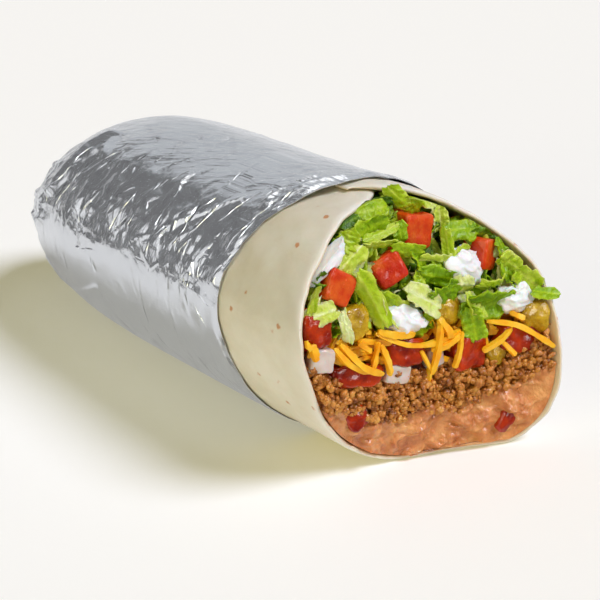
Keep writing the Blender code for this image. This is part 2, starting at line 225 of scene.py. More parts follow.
class NodeTree:
    """A tree of shader nodes, whose varying values are written as expressions on Shades."""

    def __init__(self, tree):
        self.tree = tree

    def node(self, kind, settings=None, inputs=None, output=0):
        """Adds a node: its settings first, then the values or links of its sockets."""
        made = self.tree.nodes.new(kind)
        for name, value in (settings or {}).items():
            if name == "stops":
                self.set_stops(made.color_ramp, value)
            else:
                setattr(made, name, value)
        for name, value in (inputs or {}).items():
            if isinstance(value, Shade):
                self.tree.links.new(value.socket, made.inputs[name])
            else:
                made.inputs[name].default_value = value
        return Shade(self, made.outputs[output])

    def set_stops(self, ramp, stops):
        while len(ramp.elements) < len(stops):
            ramp.elements.new(1.0)
        for element, (position, colour) in zip(ramp.elements, stops):
            element.position = position
            element.color = (*colour, 1.0)

    def mix(self, amount, first, second, blend_type="MIX"):
        """A colour between two, or one laid on the other."""
        settings = {"data_type": "RGBA", "blend_type": blend_type}
        inputs = {0: amount, 6: colour4(first), 7: colour4(second)}
        return self.node("ShaderNodeMix", settings, inputs, 2)

    def ramp(self, amount, *stops):
        return self.node("ShaderNodeValToRGB", {"stops": stops}, {"Fac": amount})


class Finish(NodeTree):
    """A material: its fixed values by socket name, and what varies fed in afterwards."""

    def __init__(self, name, fixed):
        self.material = bpy.data.materials.new(name)
        self.material.use_nodes = True
        super().__init__(self.material.node_tree)
        self.surface = self.tree.nodes["Principled BSDF"]
        for socket, value in fixed.items():
            self.surface.inputs[socket].default_value = value
        self.place = self.node("ShaderNodeTexCoord", output="Object")

    def noise(self, size, detail=2.0, rough=0.5, place=None, distortion=0.0):
        """Soft random values about 0.5, with features of a size in metres."""
        inputs = {
            "Vector": place or self.place,
            "Scale": 1.0 / size,
            "Detail": detail,
            "Roughness": rough,
            "Distortion": distortion,
        }
        return self.node("ShaderNodeTexNoise", None, inputs)

    def cells(self, size, feature="F1", output="Distance", place=None, uneven=1.0):
        inputs = {"Vector": place or self.place, "Scale": 1.0 / size, "Randomness": uneven}
        return self.node("ShaderNodeTexVoronoi", {"feature": feature}, inputs, output)

    def mapped(self, place, turn=0.0, stretch=(1.0, 1.0, 1.0)):
        """Coordinates turned about Z by degrees, or stretched."""
        inputs = {"Vector": place, "Rotation": (0.0, 0.0, math.radians(turn)), "Scale": stretch}
        return self.node("ShaderNodeMapping", None, inputs)

    def sheet(self, name):
        return self.node("ShaderNodeUVMap", {"uv_map": name})

    def attribute(self, name):
        return self.node("ShaderNodeAttribute", {"attribute_name": name}, None, "Fac")

    def bump(self, height, depth, strength=1.0, under=None):
        """Relief of a depth in metres, for a height of 0 to 1."""
        inputs = {"Height": height, "Distance": depth, "Strength": strength}
        if under:
            inputs["Normal"] = under
        return self.node("ShaderNodeBump", None, inputs)

    def feed(self, socket, shade):
        self.tree.links.new(shade.socket, self.surface.inputs[socket])


def colour4(value):
    return value if isinstance(value, Shade) else (*value, 1.0)


# ---- making pieces ----


def finish_piece(name, bm, look, nodes=(), sharp=None):
    """Makes a piece of the bmesh, which rides on the one body and stands for its CAD nodes."""
    bmesh.ops.recalc_face_normals(bm, faces=bm.faces)
    mesh = bpy.data.meshes.new(name)
    bm.to_mesh(mesh)
    bm.free()
    piece = bpy.data.objects.new(name, mesh)
    bpy.context.scene.collection.objects.link(piece)
    mesh.materials.append(look)
    mesh.shade_smooth()
    if sharp is not None:
        mesh.set_sharp_from_angle(angle=math.radians(sharp))
    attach(piece, "root")
    if nodes:
        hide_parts(*nodes)
    return piece


def new_slab(bm, columns, rows):
    """A closed slab of unit sides centred on the origin, one cell thick. Gives its vertices."""
    grid = bmesh.ops.create_grid(bm, x_segments=columns, y_segments=rows, size=0.5)["verts"]
    bmesh.ops.translate(bm, vec=(0.0, 0.0, -0.5), verts=grid)
    faces = list({face for vert in grid for face in vert.link_faces})
    grown = bmesh.ops.extrude_face_region(bm, geom=faces, use_keep_orig=True)["geom"]
    top = [item for item in grown if isinstance(item, bmesh.types.BMVert)]
    bmesh.ops.translate(bm, vec=(0.0, 0.0, 1.0), verts=top)
    return grid + top


def new_block(bm, cuts):
    """A unit cube whose faces are cut into a grid. Gives its vertices."""
    old = set(bm.verts)
    cube = bmesh.ops.create_cube(bm, size=1.0)["verts"]
    edges = list({edge for vert in cube for edge in vert.link_edges})
    bmesh.ops.subdivide_edges(bm, edges=edges, cuts=cuts, use_grid_fill=True)
    return [vert for vert in bm.verts if vert not in old]


def new_ball(bm):
    return bmesh.ops.create_icosphere(bm, subdivisions=2, radius=1.0)["verts"]


def alike(bm, count, make, *settings):
    """Makes a shape and copies of it in one mesh. Gives the vertices of each."""
    kinds = (bm.verts, bm.edges, bm.faces)
    before = [len(kind) for kind in kinds]
    make(bm, *settings)
    each = [len(kind) - old for kind, old in zip(kinds, before)]
    made = 1
    while made < count:
        more = min(made, count - made)
        geom = []
        for kind, old, size in zip(kinds, before, each):
            kind.ensure_lookup_table()
            geom += kind[old:old + more * size]
        bmesh.ops.duplicate(bm, geom=geom)
        made += more
    bm.verts.ensure_lookup_table()
    starts = range(before[0], before[0] + count * each[0], each[0])
    return [bm.verts[start:start + each[0]] for start in starts]


def wobble(point, size, seed):
    """A smooth random value from -1 to 1 over space."""
    return noise.noise((point[0] / size + seed * 7.3, point[1] / size - seed * 3.1, point[2] / size))


# ---- places in the mouth ----
WALL = [section_point(math.radians(degrees), 0.0, INNER_WALL) for degrees in range(0, 360, 2)]
LEFT_WALL = np.array(sorted((z, x + AXIS_X) for x, z in WALL[45:136])).T
RIGHT_WALL = np.array(sorted((z, x + AXIS_X) for x, z in WALL[135:] + WALL[:46])).T
WALL_TURNS = np.array(
    sorted((math.atan2(z - CUT_MID_Z, x), math.hypot(x, z - CUT_MID_Z)) for x, z in WALL)
).T
WALL_REACHES = np.interp(
    np.radians(np.arange(-180, 181)), WALL_TURNS[0], WALL_TURNS[1], period=2.0 * math.pi
).tolist()  # from the mouth's middle out to the tortilla, for each whole degree from -180


def wall_x(z):
    """The left and the right x of the tortilla's inside at a height."""
    return np.interp(z, *LEFT_WALL), np.interp(z, *RIGHT_WALL)


def kept_inside(point, margin):
    """The point, drawn in towards the mouth's middle until it clears the tortilla by a margin."""
    x, z = point.x - AXIS_X, point.z - CUT_MID_Z
    degrees = math.degrees(math.atan2(z, x)) + 180.0
    whole = min(int(degrees), 359)
    limit = blend(WALL_REACHES[whole], WALL_REACHES[whole + 1], degrees - whole) - margin
    reach = math.hypot(x, z)
    if reach <= limit:
        return point
    return Vector((AXIS_X + x * limit / reach, point.y, CUT_MID_Z + z * limit / reach))


def seat(x, z, out, turn=0.0, nod=0.0, swing=0.0):
    """The place of a thing in the mouth: x, z and out in mm, and turns in degrees.

    Its own X then lies to the right in the cut, its Z upwards and its -Y out of the mouth.
    """
    x, z = x * MM, z * MM
    lie = Vector((0.0, 1.0, 0.0)).rotation_difference(Vector((-CUT_TURN, 1.0, -CUT_SLOPE)))
    turned = Euler((math.radians(nod), math.radians(-turn), math.radians(swing)))
    at = Vector((x, face_y(x, z) - out * MM, z))
    return Matrix.Translation(at) @ lie.to_matrix().to_4x4() @ turned.to_matrix().to_4x4()


def on_face(x, z, out):
    """A point of the mouth in metres, from mm."""
    return Vector((x * MM, face_y(x * MM, z * MM) - out * MM, z * MM))


# ---- the foil ----
FOIL_COLUMNS = 48
FOIL_ROWS = 30
FOIL_HALVINGS = 3
FOIL_DEPTH = -0.0004  # of the foil's outer face, outside the roll's skin
FOIL_WALL = 0.00015
SEAM_TURN = -0.25  # the sheet's seam runs along the underside, in turns from +X
GIRTH = 0.246  # around the roll
FOIL_RUN = 0.185  # from the foil's edge over the tail to its tip
FLARE = 0.0017  # the foil's edge stands off the tortilla
FLARE_RUN = 0.006
CURL = 0.0012  # and its last few millimetres curl back in
CURL_RUN = 0.0016
CREASES = 300
CREASE_LEANS = ((4.0, 16.0), (4.0, 16.0), (42.0, 12.0), (-36.0, 12.0))  # from straight round the roll
CREASE_LENGTH = (0.002, 0.010)
CREASE_WIDTH = (0.0009, 0.0022)
CREASE_HEIGHT = (0.00006, 0.00030)

# Folds of the foil, laid out flat: height and half width, then points around and along, in mm.
FOLDS = (
    (0.95, 3.0, ((140, 98), (147, 102), (153, 101), (160, 104), (167, 103), (173, 107), (183, 107))),
    (0.70, 2.2, ((143, 94), (150, 88))),
    (0.70, 2.2, ((148, 92), (155, 96), (163, 98), (170, 103))),
    (0.60, 2.5, ((168, 109), (172, 119), (169, 131), (172, 142))),
    (0.55, 2.2, ((150, 106), (156, 116), (152, 127), (157, 138))),
    (0.50, 2.4, ((183, 107), (187, 116), (184, 128))),
    (0.32, 1.3, ((163, 36), (158, 29), (153, 23), (147, 18))),
    (0.26, 1.0, ((153, 44), (148, 47), (143, 51))),
    (0.20, 0.9, ((152, 45), (146, 47))),
    (0.20, 1.4, ((145, 30), (134, 34))),
    (0.30, 1.2, ((162, 83), (171, 81), (180, 84))),
    (0.26, 1.0, ((176, 75), (169, 74))),
    (0.30, 1.1, ((180, 18), (171, 16))),
    (0.26, 1.1, ((168, 20), (162, 20))),
    (0.24, 1.2, ((169, 43), (174, 50))),
    (0.40, 1.4, ((204, 120), (210, 111), (207, 98), (204, 86), (198, 74))),
    (0.45, 1.8, ((126, 3), (134, 5), (141, 4), (147, 7))),
    (0.40, 1.6, ((131, 9), (139, 11), (145, 9))),
)


FOLD_RISE = 1.8


def fold_height(around, along, half_width, points):
    """How high a fold stands over the flat sheet, from 0 to 1, sharp along its points."""
    nearest = np.full(len(around), 1.0)
    for first, second in zip(points, points[1:]):
        start = np.array(first) * MM
        run = np.array(second) * MM - start
        share = ((around - start[0]) * run[0] + (along - start[1]) * run[1]) / run.dot(run)
        share = np.clip(share, 0.0, 1.0)
        off = np.hypot(around - start[0] - share * run[0], along - start[1] - share * run[1])
        nearest = np.minimum(nearest, off)
    return np.clip(1.0 - nearest / (half_width * MM), 0.0, 1.0)


def crease_heights(around, along, rng):
    """Heights over the flat foil, in metres, from many straight creases and a few long folds."""
    heights = np.zeros(len(around))
    for _ in range(CREASES):
        at_around = rng.uniform(0.0, GIRTH)
        at_along = rng.uniform(0.0, FOIL_RUN)
        turn = math.radians(rng.gauss(*rng.choice(CREASE_LEANS)))
        length = rng.uniform(*CREASE_LENGTH)
        width = rng.uniform(*CREASE_WIDTH)
        height = rng.uniform(*CREASE_HEIGHT) * rng.choice((1.0, 1.0, -1.0))
        height *= crumple(at_around / GIRTH, at_along / FOIL_RUN)
        off_around = (around - at_around + GIRTH / 2.0) % GIRTH - GIRTH / 2.0
        off_along = along - at_along
        lengthwise = off_around * math.cos(turn) + off_along * math.sin(turn)
        sideways = -off_around * math.sin(turn) + off_along * math.cos(turn)
        profile = np.clip(1.0 - np.abs(sideways) / width, 0.0, 1.0)
        taper = np.clip(1.0 - np.abs(lengthwise) / length, 0.0, 1.0)
        heights += height * profile * np.sqrt(taper)
    for height, half_width, points in FOLDS:
        heights += FOLD_RISE * height * MM * fold_height(around, along, half_width, points)
    return heights


def crumple(turn, reach):
    """How crumpled the foil is at a place on the flat sheet: its flanks and tail more than its top."""
    flank = smooth_step((abs(turn - 0.5) - 0.05) / 0.08)
    low = smooth_step((abs(turn - 0.5) - 0.23) / 0.05)
    return (0.35 + 1.05 * flank) * (1.0 - 0.88 * low) + 0.8 * smooth_step((reach - 0.55) / 0.15)


def make_foil():
    rng = random.Random(11)
    bm = bmesh.new()
    bmesh.ops.create_grid(bm, x_segments=FOIL_COLUMNS, y_segments=FOIL_ROWS, size=0.5)
    bmesh.ops.translate(bm, vec=(0.5, 0.5, 0.0), verts=bm.verts)
    for vert in bm.verts:
        if not vert.is_boundary:
            vert.co.x += rng.uniform(-0.36, 0.36) / FOIL_COLUMNS
            vert.co.y += rng.uniform(-0.36, 0.36) / FOIL_ROWS
            vert.co.z = rng.gauss(0.0, 0.00015) * crumple(vert.co.x, vert.co.y)
    bmesh.ops.triangulate(bm, faces=bm.faces, quad_method="SHORT_EDGE")
    for halving in range(FOIL_HALVINGS):
        old = set(bm.verts)
        bmesh.ops.subdivide_edges(bm, edges=bm.edges, cuts=1, use_grid_fill=True)
        sway = 0.00005 * 0.4**halving
        for vert in bm.verts:
            if vert not in old and not vert.is_boundary:
                vert.co.z += rng.gauss(0.0, sway) * crumple(vert.co.x, vert.co.y)
    wrap = bm.loops.layers.uv.new("wrap")
    for face in bm.faces:
        for loop in face.loops:
            loop[wrap].uv = (loop.vert.co.x * GIRTH, loop.vert.co.y * FOIL_RUN)
    around = np.array([vert.co.x for vert in bm.verts]) * GIRTH
    along = np.array([vert.co.y for vert in bm.verts]) * FOIL_RUN
    heights = crease_heights(around, along, rng)
    for vert, height in zip(bm.verts, heights):
        vert.co.z += height
    # The front edge turns in, and its inner wall runs back to the tail.
    front = [edge for edge in bm.edges if edge.is_boundary and max(v.co.y for v in edge.verts) < 1e-4]
    for reach in (0.0, 0.03, 0.1, 0.25, 0.45, 0.7, 0.85, 1.0):
        grown = bmesh.ops.extrude_edge_only(bm, edges=front)["geom"]
        front = [item for item in grown if isinstance(item, bmesh.types.BMEdge)]
        for vert in {vert for edge in front for vert in edge.verts}:
            vert.co.y = reach
            vert.co.z = -FOIL_WALL
    for vert in bm.verts:
        turn, reach, height = vert.co
        angle = 2.0 * math.pi * (SEAM_TURN + turn)
        ring = (math.cos(angle), math.sin(angle), 0.0)
        start = foil_edge_y(angle) + 0.0011 * wobble(ring, 0.33, 1) + 0.0005 * wobble(ring, 0.09, 2)
        walked = reach * FOIL_RUN
        flare = FLARE * math.exp(-walked / FLARE_RUN) - CURL * math.exp(-((walked / CURL_RUN) ** 2))
        flare *= (0.75 + 0.8 * wobble(ring, 0.2, 4)) * (1.0 - max(0.0, -math.sin(angle)) ** 2)
        swell = 0.0007 * wobble((ring[0], ring[1], reach * 2.3), 0.45, 3)
        fade = smooth_step((1.0 - reach) * 14.0)
        out = (height + max(swell, 0.0)) * fade if height > -FOIL_WALL else -FOIL_WALL
        vert.co = skin_point(angle, start, reach, FOIL_DEPTH - out - flare)
    bmesh.ops.remove_doubles(bm, verts=bm.verts, dist=1e-6)
    return finish_piece("foil", bm, foil_finish(), ["foil_wrap"], 24)


def facets(look, size, place):
    """Heights of flat facets, each tilted its own way."""
    centre = look.cells(size, "F1", "Position", place)
    tilt = look.cells(size, "F1", "Color", place)
    off = look.node("ShaderNodeVectorMath", {"operation": "SUBTRACT"}, {0: place, 1: centre}, "Vector")
    lean = look.node("ShaderNodeVectorMath", {"operation": "SUBTRACT"}, {0: tilt, 1: (0.5, 0.5, 0.5)}, "Vector")
    height = look.node("ShaderNodeVectorMath", {"operation": "DOT_PRODUCT"}, {0: off, 1: lean}, "Value")
    near_edge = look.cells(size, "DISTANCE_TO_EDGE", "Distance", place).step(0.0, 0.12)
    return height * near_edge


def foil_finish():
    look = Finish("crumpled foil", {"Base Color": (0.73, 0.745, 0.77, 1.0), "Metallic": 1.0})
    wrap = look.sheet("wrap")
    around = look.node("ShaderNodeSeparateXYZ", None, {0: wrap}, "X")
    flank = around.step(0.138, 0.152)
    lengthwise = look.mapped(look.mapped(wrap, turn=-68.0), stretch=(0.16, 1.0, 1.0))
    slanting = look.mapped(look.mapped(wrap, turn=-8.0), stretch=(0.25, 1.0, 1.0))
    brushed = look.noise(0.0022, 3.0, 0.55, lengthwise)
    streaks = look.noise(0.0020, 3.0, 0.55, slanting)
    lines = look.cells(0.0065, "DISTANCE_TO_EDGE", "Distance", slanting)
    busy = 0.12 + 0.50 * look.noise(0.014, 2.0).step(0.46, 0.64)
    wide = facets(look, 0.0075, slanting) * busy * flank
    small = facets(look, 0.0032, look.mapped(look.mapped(wrap, turn=14.0), stretch=(0.45, 1.0, 1.0)))
    chosen = look.noise(0.011, 1.0).step(0.50, 0.56)
    upper = 1.0 - around.step(0.176, 0.186)
    ridge = (1.0 - lines.step(0.0, 0.075)) * chosen * flank * upper
    relief = look.bump(brushed * (1.0 - flank), 0.0012, 0.5)
    relief = look.bump(streaks * flank, 0.0010, 0.16, relief)
    relief = look.bump(wide, 0.5, 1.0, relief)
    relief = look.bump(small * busy * upper, 0.4, 1.0, relief)
    relief = look.bump(ridge, 0.0004, 0.8, relief)
    relief = look.bump(look.noise(0.0009, 3.0, 0.6), 0.0002, 0.18, relief)
    look.feed("Normal", relief)
    look.feed("Roughness", 0.17 + 0.12 * look.noise(0.006, 2.0))
    return look.material


# ---- the tortilla ----
OUTER_END = math.radians(99)
OVERLAP = math.radians(26)
FLAP_ANGLE = math.radians(150)  # where the flap is cut back a little
FLAP_BACK = 0.0011
TORTILLA_COLUMNS = 300
TORTILLA_ROWS = 40


def make_tortilla():
    bm = bmesh.new()
    new_slab(bm, TORTILLA_COLUMNS, TORTILLA_ROWS)
    rim = bm.verts.layers.float.new("rim")
    inside = bm.verts.layers.float.new("inside")
    for vert in bm.verts:
        around, along, deep = vert.co.x + 0.5, vert.co.y + 0.5, 0.5 - vert.co.z
        angle = OUTER_END - around * (2.0 * math.pi + OVERLAP)
        left = (2.0 * math.pi + OVERLAP) * (1.0 - around)
        under = 1.0 - smooth_step((left - OVERLAP) / math.radians(26))
        slip = smooth_step((left - math.radians(4)) / math.radians(20))
        far = smooth_step(around * (2.0 * math.pi + OVERLAP) / math.radians(16))
        start = mouth_y(angle) + 0.006 * (1.0 - slip) + 0.007 * (1.0 - far)
        start += FLAP_BACK * math.exp(25.0 * (math.cos(angle - FLAP_ANGLE) - 1.0))
        start += 0.0004 * noise.noise((math.cos(angle) * 9.0, math.sin(angle) * 9.0, around * 4.0))
        reach = along**1.7 * 0.55
        walked = reach * 0.2
        wall = TORTILLA * (1.0 - 0.55 * math.exp(-walked / 0.0007)) * (0.35 + 0.65 * far)
        depth = under * (TORTILLA + 0.0001) + TORTILLA / 2.0 + (deep - 0.5) * wall
        depth += 0.00025 * noise.noise((math.cos(angle) * 6.0, math.sin(angle) * 6.0, walked * 160.0))
        vert[rim] = math.exp(-walked / 0.0025)
        vert[inside] = deep
        vert.co = skin_point(angle, start, reach, depth)
    return finish_piece("tortilla_sheet", bm, tortilla_finish(), ["tortilla"])


def tortilla_finish():
    fixed = {"Roughness": 0.62, "Subsurface Weight": 0.15, "Subsurface Scale": 0.002}
    look = Finish("flour tortilla", fixed)
    mottle = look.noise(0.012, 4.0, 0.6)
    base = look.ramp(mottle, (0.3, (0.70, 0.63, 0.475)), (0.7, (0.79, 0.735, 0.60)))
    base = look.mix(look.attribute("rim") * 0.75, base, (0.82, 0.78, 0.69))
    base = look.mix(look.attribute("inside") * 0.8, base, (0.66, 0.50, 0.27))
    spots = look.cells(0.0068)
    chosen = look.cells(0.0068, "F1", "Color")
    flecks = (1.0 - (spots + 0.25 * look.noise(0.0015)).step(0.19, 0.27)) * chosen.step(0.25, 0.35)
    base = look.mix(flecks * 0.85, base, (0.55, 0.22, 0.055))
    look.feed("Base Color", base)
    relief = look.bump(look.noise(0.004, 3.0), 0.0006, 0.4)
    relief = look.bump(look.noise(0.0007, 2.0), 0.00012, 0.3, relief)
    look.feed("Normal", relief)
    return look.material


# ---- the layers of the filling ----
LAYER_BACK = 0.024  # how far the layers run back into the roll
EDGE_SAUCE = 0.003  # how far sauce shows in from the left wall
# The top of each layer at the axis, its tilt, and its sag in 1/m.
BEANS_TOP = (0.0148, -0.08, 7.2)
BEEF_TOP = (0.0260, -0.08, 5.5)
SALSA_TOP = (0.0333, -0.12, 4.2)
CHEESE_TOP = (0.0388, -0.15, 3.5)


def level(layer, x):
    """The height of a layer's top over world x."""
    middle, tilt, sag = layer
    across = x - AXIS_X
    return middle + tilt * across + sag * across * across + 0.0009 * np.sin(420.0 * x + 900.0 * middle)


def floor_level(x):
    return INNER_WALL - 0.0003 + 0.0 * x


def roof_level(x):
    return HEIGHT - 0.0045 + 0.0 * x


def make_layer(name, node, look, low, high, grid, relief, margin=0.0, set_back=0.0):
    """One layer of the filling between two levels, its front shaped by a relief in metres."""
    bm = bmesh.new()
    edge = bm.verts.layers.float.new("edge")
    verts = new_slab(bm, *grid)
    across, up, back = np.array([vert.co for vert in verts]).T + 0.5
    x = 0.0 * across
    for _ in range(14):
        left, right = wall_x(blend(low(x), high(x), up))
        x = blend(left + margin, right - margin, across)
    z = blend(low(x), high(x), up)
    off_edge = (x - left).tolist()
    for vert, x, z, back, off in zip(verts, x.tolist(), z.tolist(), back.tolist(), off_edge):
        vert[edge] = max(0.0, 1.0 - off / EDGE_SAUCE)
        front = face_y(x, z) + set_back - relief(x, z)
        x += back * (DRIFT * LAYER_BACK - 0.06 * (x - AXIS_X))
        z += back * 0.05 * (CUT_MID_Z - z)
        vert.co = (x, front + back * LAYER_BACK, z)
    return finish_piece(name, bm, look, [node])


def bean_relief(x, z):
    """Spooned paste: flat smears at odd tilts that break at their edges, and small lumps."""
    at = Vector((x / 0.0075, z / 0.0055, 0.7))
    at += 0.25 * Vector((wobble((x, z, 0.0), 0.004, 1), wobble((x, z, 0.0), 0.004, 2), 0.0))
    distances, centres = noise.voronoi(at)
    off = at - centres[0]
    tilt = Vector((noise.cell(centres[0] * 9.0) - 0.5, noise.cell(centres[0] * 5.0) - 0.5, 0.0))
    smear = 0.0026 * off.dot(tilt) + 0.0006 * (noise.cell(centres[0] * 3.0) - 0.5)
    smear *= min((distances[1] - distances[0]) / 0.25, 1.0)
    lumps = 0.0013 * wobble((x, z, 0.0), 0.0045, 4) + 0.0008 * wobble((x, z, 0.0), 0.0016, 5)
    bulge = 0.0014 * math.exp(-(((x - 0.022) / 0.012) ** 2) - ((z - 0.008) / 0.007) ** 2)
    lip = 0.0015 * math.exp(-z / 0.004) * smooth_step((x + 0.020) / 0.015)
    edge = 0.0004 * smooth_step((x - 0.026) / 0.008)
    calm = smooth_step((wall_x(z)[1] - x) / 0.006)
    return max((smear + lumps) * calm + bulge, -0.0004) + 0.0005 + lip + edge


def beef_relief(x, z):
    """Crumbled mince: round lumps with deep gaps between them."""
    at = Vector((x / 0.0022, z / 0.0020, 3.1))
    distances = noise.voronoi(at)[0]
    lump = 0.0016 * (1.0 - min(distances[0] / 0.62, 1.0) ** 2)
    return lump - 0.0012 + 0.0008 * wobble((x, z, 0.0), 0.006, 6) + 0.0003 * wobble((x, z, 0.0), 0.001, 7)


def sauce_relief(x, z):
    return 0.0016 * wobble((x, z, 0.0), 0.004, 8) + 0.0005 * wobble((x, z, 0.0), 0.0015, 9)


def leafy_relief(x, z):
    return 0.0030 * wobble((x, z, 0.0), 0.006, 10) + 0.0010 * wobble((x, z, 0.0), 0.002, 11)


def make_layers():
    make_layer(
        "bean_paste", "refried_beans", bean_finish(),
        floor_level, lambda x: level(BEANS_TOP, x) + 0.0005, (190, 84), bean_relief,
    )
    make_layer(
        "beef_mince", "ground_beef", beef_finish(),
        lambda x: level(BEANS_TOP, x) - 0.0015, lambda x: level(BEEF_TOP, x) + 0.001, (170, 44), beef_relief,
    )
    make_layer(
        "salsa_sauce", "salsa", sauce_finish(),
        lambda x: level(BEEF_TOP, x) - 0.001, lambda x: level(SALSA_TOP, x) + 0.0005, (120, 22), sauce_relief,
        0.0, 0.0024,
    )
    make_layer(
        "cheese_bed", "shredded_cheese", cheese_finish(),
        lambda x: level(SALSA_TOP, x) - 0.0005, lambda x: level(CHEESE_TOP, x), (120, 18), sauce_relief,
        0.0008, 0.0046,
    )
    # The heart of the lettuce behind the shreds is coloured deep green all over: painted shade for the recess behind
    # them.
    make_layer(
        "lettuce_heart", "lettuce", lettuce_finish("lettuce in shade"),
        lambda x: level(CHEESE_TOP, x) - 0.001, roof_level, (90, 60), leafy_relief,
        0.0028, 0.0065,
    )


def bean_finish():
    fixed = {
        "Specular IOR Level": 0.3, "Coat Weight": 0.5, "Coat Roughness": 0.08,
        "Subsurface Weight": 0.25, "Subsurface Scale": 0.0025,
    }
    look = Finish("refried beans", fixed)
    base = look.ramp(
        look.noise(0.007, 4.0, 0.6),
        (0.30, (0.38, 0.105, 0.026)), (0.45, (0.60, 0.22, 0.062)), (0.62, (0.76, 0.35, 0.115)), (0.8, (0.84, 0.46, 0.18)),
    )
    skins = 1.0 - look.cells(0.0075).step(0.16, 0.30)
    base = look.mix(skins * 0.45, base, (0.42, 0.12, 0.045))
    base = look.mix(look.attribute("edge").step(0.1, 0.9) * 0.7, base, (0.62, 0.20, 0.05))
    look.feed("Base Color", base)
    look.feed("Roughness", 0.25 + 0.35 * look.noise(0.005, 2.0))
    relief = look.bump(look.noise(0.0022, 4.0, 0.6), 0.0013, 0.7)
    look.feed("Normal", look.bump(look.noise(0.0005, 2.0), 0.0002, 0.35, relief))
    return look.material


def beef_finish():
    fixed = {
        "Specular IOR Level": 0.3, "Coat Weight": 0.35, "Coat Roughness": 0.12,
        "Subsurface Weight": 0.12, "Subsurface Scale": 0.0015,
    }
    look = Finish("seasoned beef", fixed)
    base = look.ramp(
        look.noise(0.0035, 4.0, 0.65),
        (0.30, (0.15, 0.036, 0.004)), (0.44, (0.42, 0.14, 0.018)), (0.58, (0.68, 0.28, 0.045)), (0.76, (0.86, 0.46, 0.11)),
    )
    base = look.mix(look.attribute("edge").step(0.1, 0.9) * 0.6, base, (0.62, 0.20, 0.03))
    look.feed("Base Color", base)
    look.feed("Roughness", 0.25 + 0.35 * look.noise(0.002, 2.0))
    relief = look.bump(look.noise(0.0011, 4.0, 0.65), 0.0008, 0.6)
    look.feed("Normal", look.bump(look.noise(0.0003, 2.0), 0.00015, 0.4, relief))
    return look.material


def sauce_finish():
    fixed = {"Roughness": 0.2, "Coat Weight": 0.5, "Coat Roughness": 0.06, "Subsurface Weight": 0.2,
             "Subsurface Scale": 0.002}
    look = Finish("salsa sauce", fixed)
    base = look.ramp(look.noise(0.004, 3.0), (0.35, (0.14, 0.018, 0.004)), (0.65, (0.34, 0.055, 0.010)))
    look.feed("Base Color", base)
    look.feed("Normal", look.bump(look.noise(0.0012, 3.0), 0.0006, 0.5))
    return look.material


# ---- beef crumbs ----
BEEF_CLUMPS = 330
CRUMBS_IN_CLUMP = (3, 6)


def make_crumbs():
    """Loose crumbs of beef lying in small clumps in the face of the mince."""
    rng = random.Random(23)
    placed = []
    for _ in range(BEEF_CLUMPS):
        middle_x = rng.uniform(-0.0395, 0.0345)
        middle_up = rng.uniform(-0.08, 1.05)
        middle_out = rng.uniform(-0.9, 1.2)
        for _ in range(rng.randint(*CRUMBS_IN_CLUMP)):
            x = middle_x + rng.gauss(0.0, 0.0009)
            z = blend(level(BEANS_TOP, x), level(BEEF_TOP, x), middle_up) + rng.gauss(0.0, 0.0007)
            left, right = wall_x(z)
            if not left + 0.0008 < x < right - 0.001:
                continue
            size = rng.uniform(0.0004, 0.001)
            stretch = Vector((rng.uniform(0.8, 1.5), rng.uniform(0.8, 1.2), rng.uniform(0.7, 1.1)))
            at = on_face(x / MM, z / MM, middle_out + rng.gauss(0.0, 0.4))
            turned = Euler([rng.uniform(0.0, 6.3) for _ in range(3)]).to_matrix()
            placed.append((at, turned, size * stretch, Vector((rng.uniform(0.0, 900.0), 0.0, 0.0))))
    bm = bmesh.new()
    bm.verts.layers.float.new("edge")
    for verts, (at, turned, size, seed) in zip(alike(bm, len(placed), new_ball), placed):
        for vert in verts:
            swell = 1.0 + 0.5 * noise.noise(vert.co * 1.1 + seed) + 0.5 * noise.noise(vert.co * 2.6 + seed)
            vert.co = kept_inside(at + turned @ (vert.co * swell * size), 0.0003)
    return finish_piece("beef_crumbs", bm, beef_finish())


# ---- blocks and drops ----
# Each is a name, its place x and z, its width, height and depth, its turn, how far it stands out,
# its lean forwards and its swing, in mm and degrees, and how boxy it is.
TOMATO_DICE = (
    ("tomato_dice_1", 1.2, 62.6, 9.8, 9.4, 8.0, -11, 3.4, 4, 8, 9),
    ("tomato_dice_2", -8.9, 54.9, 8.6, 8.2, 8.0, 24, 2.4, -6, -10, 9),
    ("tomato_dice_3", -27.0, 54.8, 8.6, 8.2, 7.0, -32, 2.4, 0, 6, 8),
    ("tomato_dice_4", 21.3, 53.2, 7.6, 8.6, 7.5, -14, 2.2, 6, 28, 9),
)
CREAM_DROPS = (
    ("sour_cream_1", -30.4, 61.8, 14.5, 6.4, 3.6, 34, 1.9),
    ("sour_cream_2", 14.0, 51.8, 12.4, 8.6, 6.0, -28, 3.4),
    ("sour_cream_3", 27.6, 41.6, 10.4, 7.2, 6.0, -8, 3.6),
    ("sour_cream_4", -7.4, 42.2, 12.6, 8.0, 6.0, -28, 3.8),
)
CHILES = (
    ("green_chile_1", -22.3, 44.6, 8.6, 8.6, 6.0, 10, 2.0, 0, 0, 3.4),
    ("green_chile_2", 8.0, 41.0, 8.6, 7.6, 6.0, -12, 1.6, 0, 0, 3),
    ("green_chile_3", 33.0, 35.6, 8.6, 8.4, 6.5, -16, 1.8, 0, -10, 3.6),
    ("green_chile_4", 21.0, 27.2, 6.4, 6.4, 5.5, 24, 1.6, 0, 0, 3.2),
    ("green_chile_5", 16.8, 34.6, 5.2, 6.4, 5.0, 0, 1.2, 0, 0, 3.2),
)
